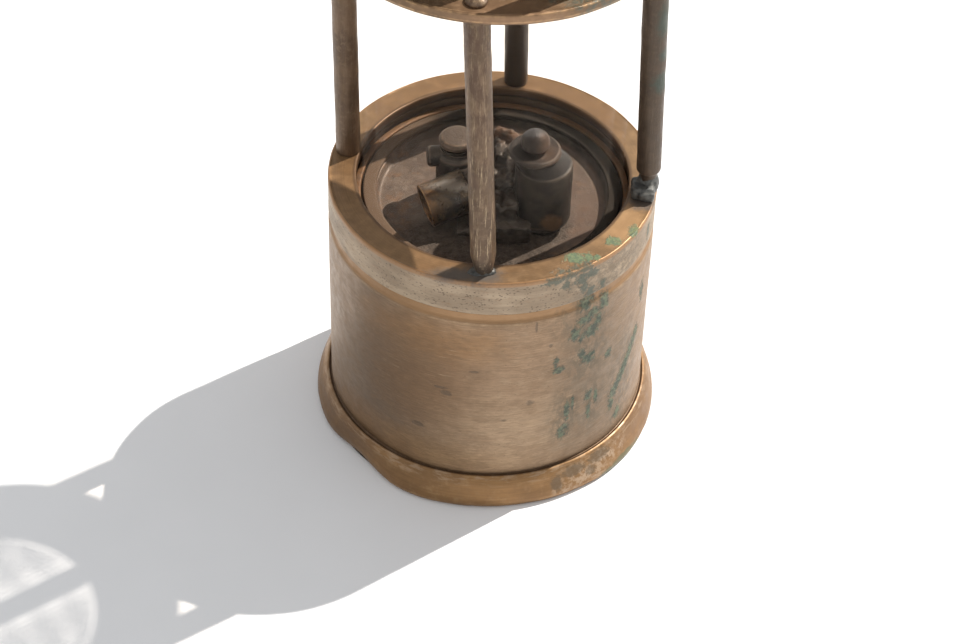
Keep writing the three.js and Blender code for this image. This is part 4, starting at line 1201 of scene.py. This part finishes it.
def build_solder():
    floor = RING.top - 0.1
    solder_piece("solder_right", [
        block_mesh((33.5, -8.7, floor), (39.6, -3.4, floor + 3.6), 1.3, 3.0, 0.5),
        block_mesh((35.3, -9.7, floor), (39.3, -6.5, floor + 3.0), 1.0, 5.0, 0.7),
        lump_mesh((37.6, -4.6, floor + 2.4), (2.7, 2.6, 3.6), 4.1, floor)], floor)
    solder_piece("solder_front", [
        lump_mesh((-1.3, -35.6, floor), (2.8, 2.3, 1.3), 2.2, floor),
        lump_mesh((-3.0, -36.4, floor), (2.2, 1.5, 0.6), 5.6, floor)], floor)


def crown_shape(point):
    radius = math.hypot(point.x - HOOD.x, point.y)
    if radius > PLATE.r - 0.6:
        return pushed(point, 0.12 * noise.noise(point / 8.0) - 0.12)
    return point + Vector((0, 0, 0.14 * noise.noise(Vector((point.x, point.y, 0)) / 9.0)))


def build_crown():
    low, top = PLATE.low, PLATE.top
    plate = [
        (26.0, low, 0.4), (PLATE.r - 0.5, low, 0.5), (PLATE.r, low + 0.9, 0.6), (PLATE.r, top, 0.5),
        (PLATE.r - 1.1, top - 0.05, 0.4), (PLATE.r - 1.7, top - 0.8, 0.6), (26.0, top - 0.8, 0.4),
    ]
    bm = lathe_mesh(plate, 160, step=0.9, at=CROWN, shape=crown_shape)
    piece("crown_skin", bm, "crown_brass", "guard_frame", "crown_plate")
    base = top - 0.5
    collar = [
        (24.9, base, 0.1), (28.6, base, 0.3), (28.6, base + 1.0, 0.3), (26.8, base + 1.5, 0.5),
        (26.4, base + 2.4, 0.4), (24.9, base + 2.4, 0.2),
    ]
    bm = lathe_mesh(collar, 128, step=0.9, at=CROWN)
    piece("gauze_collar", bm, "ring_brass", "guard_frame", "gauze_flange")


def woven_sleeve(foot_r, top_r, low, high, uprights, hoops, wire):
    """Wire gauze on a slightly tapered tube: uprights weave in and out of the hoops."""
    bm = new_bmesh()

    def crossing(u, h, weave, along_wire):
        """The four corners of a wire where upright u meets hoop h."""
        turn = 2 * math.pi * u / uprights
        out = Vector((math.cos(turn), math.sin(turn), 0))
        side = Vector((-math.sin(turn), math.cos(turn), 0)) if along_wire == Z else Vector((0, 0, 1))
        t = h / hoops
        weave *= 1 if (u + h) % 2 else -1
        centre = out * (foot_r + (top_r - foot_r) * t + weave) + Vector((HOOD.x, 0, low + (high - low) * t))
        corners = ((1, 0), (0, 1), (-1, 0), (0, -1))
        return [bm.verts.new(centre + (out * a + side * b) * wire) for a, b in corners]

    for u in range(uprights):
        join_loops(bm, [crossing(u, h, wire * 0.9, Z) for h in range(hoops + 1)])
    for h in range(hoops + 1):
        join_loops(bm, [crossing(u, h, -wire * 0.9, X) for u in range(uprights)], True)
    return bm


def build_gauzes():
    for name, uprights, hoops in (("gauze_outer", 112, 74), ("gauze_inner", 88, 60)):
        gauze = Solid(name)
        foot_r = gauze.r - 0.45
        top_r = foot_r - 4.0
        bm = woven_sleeve(foot_r, top_r, gauze.low + 0.2, gauze.top - 2.2, uprights, hoops, 0.2)
        piece(f"{name}_wires", bm, "gauze_steel", "guard_frame", name, sharp=180)
        top = gauze.top
        lid = [
            (0, top - 0.9, 0), (top_r - 1.0, top - 0.9, 0.4), (top_r - 0.5, top - 4.2, 0.2),
            (top_r + 0.42, top - 4.2, 0.2), (top_r + 0.4, top - 1.0, 0.8), (top_r - 2.0, top, 0.8),
            (0, top - 0.1, 0),
        ]
        cap = lathe_mesh(lid, 80, step=1.5, at=CROWN, shape=uneven(6.0, 0.1))
        piece(f"{name}_cap", cap, "gauze_steel", "guard_frame")


def build_gauze_seam():
    """Folded seam down the back of the outer gauze."""
    gauze = Solid("gauze_outer")
    turn = math.radians(115)
    out = Vector((math.cos(turn), math.sin(turn), 0))
    side = Vector((-out.y, out.x, 0))
    start = out * (gauze.r - 0.35) + Vector((HOOD.x, 0, gauze.low + 0.3))
    end = out * (gauze.r - 4.35) + Vector((HOOD.x, 0, gauze.top - 3.0))
    fold = ((-1.5, -0.3), (-1.5, 0.1), (-0.9, 0.33), (0.9, 0.33), (1.5, 0.1), (1.5, -0.3))
    bm = new_bmesh()
    loops = [[bm.verts.new(start.lerp(end, k / 39) + side * a + out * b) for a, b in fold] for k in range(40)]
    join_loops(bm, loops)
    cap_ends(bm, loops)
    piece("gauze_seam", bm, "gauze_steel", "guard_frame")


def build_upper_rods():
    foot, end, head = PLATE.top - 0.8, HOOD.low, HOOD.low + 2.0 + 0.1
    outline = [
        (0, foot, 0), (4.2, foot, 0.3), (4.2, foot + 1.3, 0.5), (PILLAR_R, foot + 2.8, 0.8),
        (PILLAR_R, end - 0.1, 0.1), (1.7, end, 0.1), (1.7, head, 0),
    ]
    for i in range(4):
        node = f"upper_rod_{i + 1}"
        rod = Solid(node)
        bm = lathe_mesh(outline + rivet_top(head), 40, step=1.5, at=(rod.x, rod.y),
                        shape=uneven(6.0, 0.1, i * 5.3))
        piece(f"{node}_skin", bm, "pillar_brass", "guard_frame", node)


def hood_shape(point):
    """Sagging a little, with two shallow dents."""
    if axis_distance(point) <= 9:
        return point
    sag = 0.18 * noise.noise(Vector((point.x, point.y, 0)) / 10.0)
    left = -0.5 * hump(math.hypot(point.x + 14, point.y + 22), 0, 5)
    right = -0.35 * hump(math.hypot(point.x - 20, point.y - 8), 0, 6)
    return point + Vector((0, 0, sag + left + right))


def build_hood():
    low, top = HOOD.low, HOOD.top
    under = top - 2.0
    hood = [
        (3.4, under, 0.2), (8, under, 2.0), (16, under - 0.9, 3.0), (22, low + 1.6, 2.0), (25.2, low, 1.0),
        (HOOD.r - 0.3, low, 0.4), (HOOD.r, low + 0.6, 0.4), (HOOD.r, low + 1.7, 0.4),
        (HOOD.r - 0.5, low + 2.0, 0.4),
        (26, low + 2.0, 1.2), (22.5, low + 3.8, 2.0), (16, top - 0.7, 3.0), (8, top, 1.0), (3.4, top, 0.3),
    ]
    bm = lathe_mesh(hood, 160, step=1.0, at=CROWN, shape=hood_shape)
    piece("hood_skin", bm, "crown_brass", "guard_frame", "hood")


# ---- swivel and hook ----
def build_hook():
    dome, under = HOOD.top, HOOD.low
    pin = Vector((HOOD.x, 0.0, PIN.z))
    across = line_matrix(pin, pin + Vector((0, 1, 0)))
    stem = [
        (0, under + 1.4, 0), (6.2, under + 1.4, 0.5), (6.2, dome - 2.3, 0.3), (3.1, dome - 2.3, 0.1),
        (3.1, dome + 0.3, 0.1), (6.6, dome + 0.3, 0.3), (6.6, dome + 1.4, 0.5), (0, dome + 1.5, 0),
    ]
    parts = [lathe_mesh(stem, 48, step=0.8, at=CROWN)]
    for low in (-5.2, 2.6):
        cheek = [(0, low, 0), (4.2, low, 0.5), (4.2, low + 2.6, 0.5), (0, low + 2.6, 0)]
        parts.append(lathe_mesh(cheek, 40, step=0.8, to_line=across))
        parts.append(block_mesh((pin.x - 3.6, low, dome + 1.0), (pin.x + 3.6, low + 2.6, PIN.z), 0.4))
    swivel = remeshed(merged(parts), 0.3)
    soften(swivel, 0.5)
    piece("swivel_skin", swivel, "ring_brass", "swivel", "hook_swivel", sharp=180)

    half = PIN.half_y
    rivet = [
        (0, -half, 0), (2.3, 0.9 - half, 0.6), (2.6, 1.1 - half, 0.2), (1.6, 1.15 - half, 0.1),
        (1.6, half - 1.15, 0.1), (2.6, half - 1.1, 0.2), (2.3, half - 0.9, 0.6), (0, half, 0),
    ]
    bm = lathe_mesh(rivet, 32, step=0.5, to_line=across)
    piece("hook_pin_skin", bm, "hook_steel", "swivel", "hook_pin")

    bow = [(3.2, 0), (9, 0), (13.5, -1.2), (17, -5.6), (22, -9), (28, -8.6), (32.8, -4.6), (34.2, 1),
           (32, 6.4), (27, 9.3), (21.6, 8.4), (18.8, 5.4)]
    path = smooth_path([(x + HOOD.x, y, PIN.z) for x, y in bow], 8)
    bar = sweep_mesh(path, lambda t: 2.0 - 0.9 * max(0.0, (t - 0.9) / 0.1) ** 2, 20)
    eye = [(1.9, -2.2, 0.3), (4.1, -2.2, 0.6), (4.1, 2.2, 0.6), (1.9, 2.2, 0.3)]
    hook = merged([bar, lathe_mesh(eye, 40, step=0.7, to_line=across)])
    piece("hook_skin", hook, "hook_steel", "hook", "hook")


# ---- nodes that stay as CAD: hidden inside the pot or under a cap ----
def dress_inner_nodes():
    slots = {row["node"]: row["material_slot"] for row in frame["record"]["subparts"]}
    for name in ("water_tank", "drip_nozzle", "gas_riser", "carbide_cup", "carbide_sieve", "gas_filter_felt",
                 "valve_needle", "filler_washer"):
        materials = frame["nodes"][name].data.materials
        materials.clear()
        materials.append(FINISH[slots[name]])


# ---- floor, light and camera ----
def build_stage():
    bm = bmesh.new()
    bmesh.ops.create_grid(bm, x_segments=8, y_segments=8, size=4.0)
    mesh = bpy.data.meshes.new("floor")
    bm.to_mesh(mesh)
    bm.free()
    floor = bpy.data.objects.new("floor", mesh)
    bpy.context.scene.collection.objects.link(floor)
    mesh.materials.append(paper_floor())

    world = bpy.data.worlds.new("studio")
    bpy.context.scene.world = world
    world.use_nodes = True
    background = world.node_tree.nodes["Background"]
    background.inputs["Color"].default_value = (0.965, 0.982, 1.0, 1.0)
    background.inputs["Strength"].default_value = 0.72

    # A small bright lamp to the right and behind, 5 m from the object.
    side, height, distance = math.radians(36.5), math.radians(47.2), 5.0
    way = Vector((math.cos(side) * math.cos(height), math.sin(side) * math.cos(height), math.sin(height)))
    key_data = bpy.data.lights.new("key", "AREA")
    key_data.shape = "DISK"
    key_data.size = 0.05
    key_data.energy = 410
    key_data.color = (1.0, 0.965, 0.91)
    key = bpy.data.objects.new("key", key_data)
    key.location = Vector((0, 0, 0.08)) + way * distance
    key.rotation_euler = (-way).to_track_quat("-Z", "Y").to_euler()
    bpy.context.scene.collection.objects.link(key)


def build_camera():
    """From the front, 45 degrees above the lamp's foot, turned a little off it."""
    distance, elevation = 654.5 * MM, 0.788
    pan, tilt, roll = math.radians(-0.168), math.radians(1.448), math.radians(2.094)
    place = Vector((0, -distance * math.cos(elevation), distance * math.sin(elevation)))
    ahead = Vector((0, math.cos(elevation), -math.sin(elevation)))
    right = Vector((1, 0, 0))
    up = right.cross(ahead)
    ahead = ahead * math.cos(pan) + right * math.sin(pan)
    right = ahead.cross(up)
    ahead = ahead * math.cos(tilt) + up * math.sin(tilt)
    up = right.cross(ahead)
    right = right * math.cos(roll) + up * math.sin(roll)
    up = right.cross(ahead)
    camera_data = bpy.data.cameras.new("camera")
    camera_data.lens = 92.4
    camera_data.sensor_width = 36
    camera_data.clip_start = 0.01
    camera = bpy.data.objects.new("camera", camera_data)
    camera.matrix_world = Matrix.Translation(place) @ Matrix((right, up, -ahead)).transposed().to_4x4()
    bpy.context.scene.collection.objects.link(camera)
    bpy.context.scene.camera = camera


bpy.context.scene.view_settings.view_transform = "Standard"
for build in (build_camera, build_stage, build_pot, build_deck, build_boss, build_valve, build_filler,
              build_casting, build_jet, build_glass, build_ring, build_pillars, build_solder, build_crown,
              build_gauzes, build_gauze_seam, build_upper_rods, build_hood, build_hook, dress_inner_nodes):
    build()
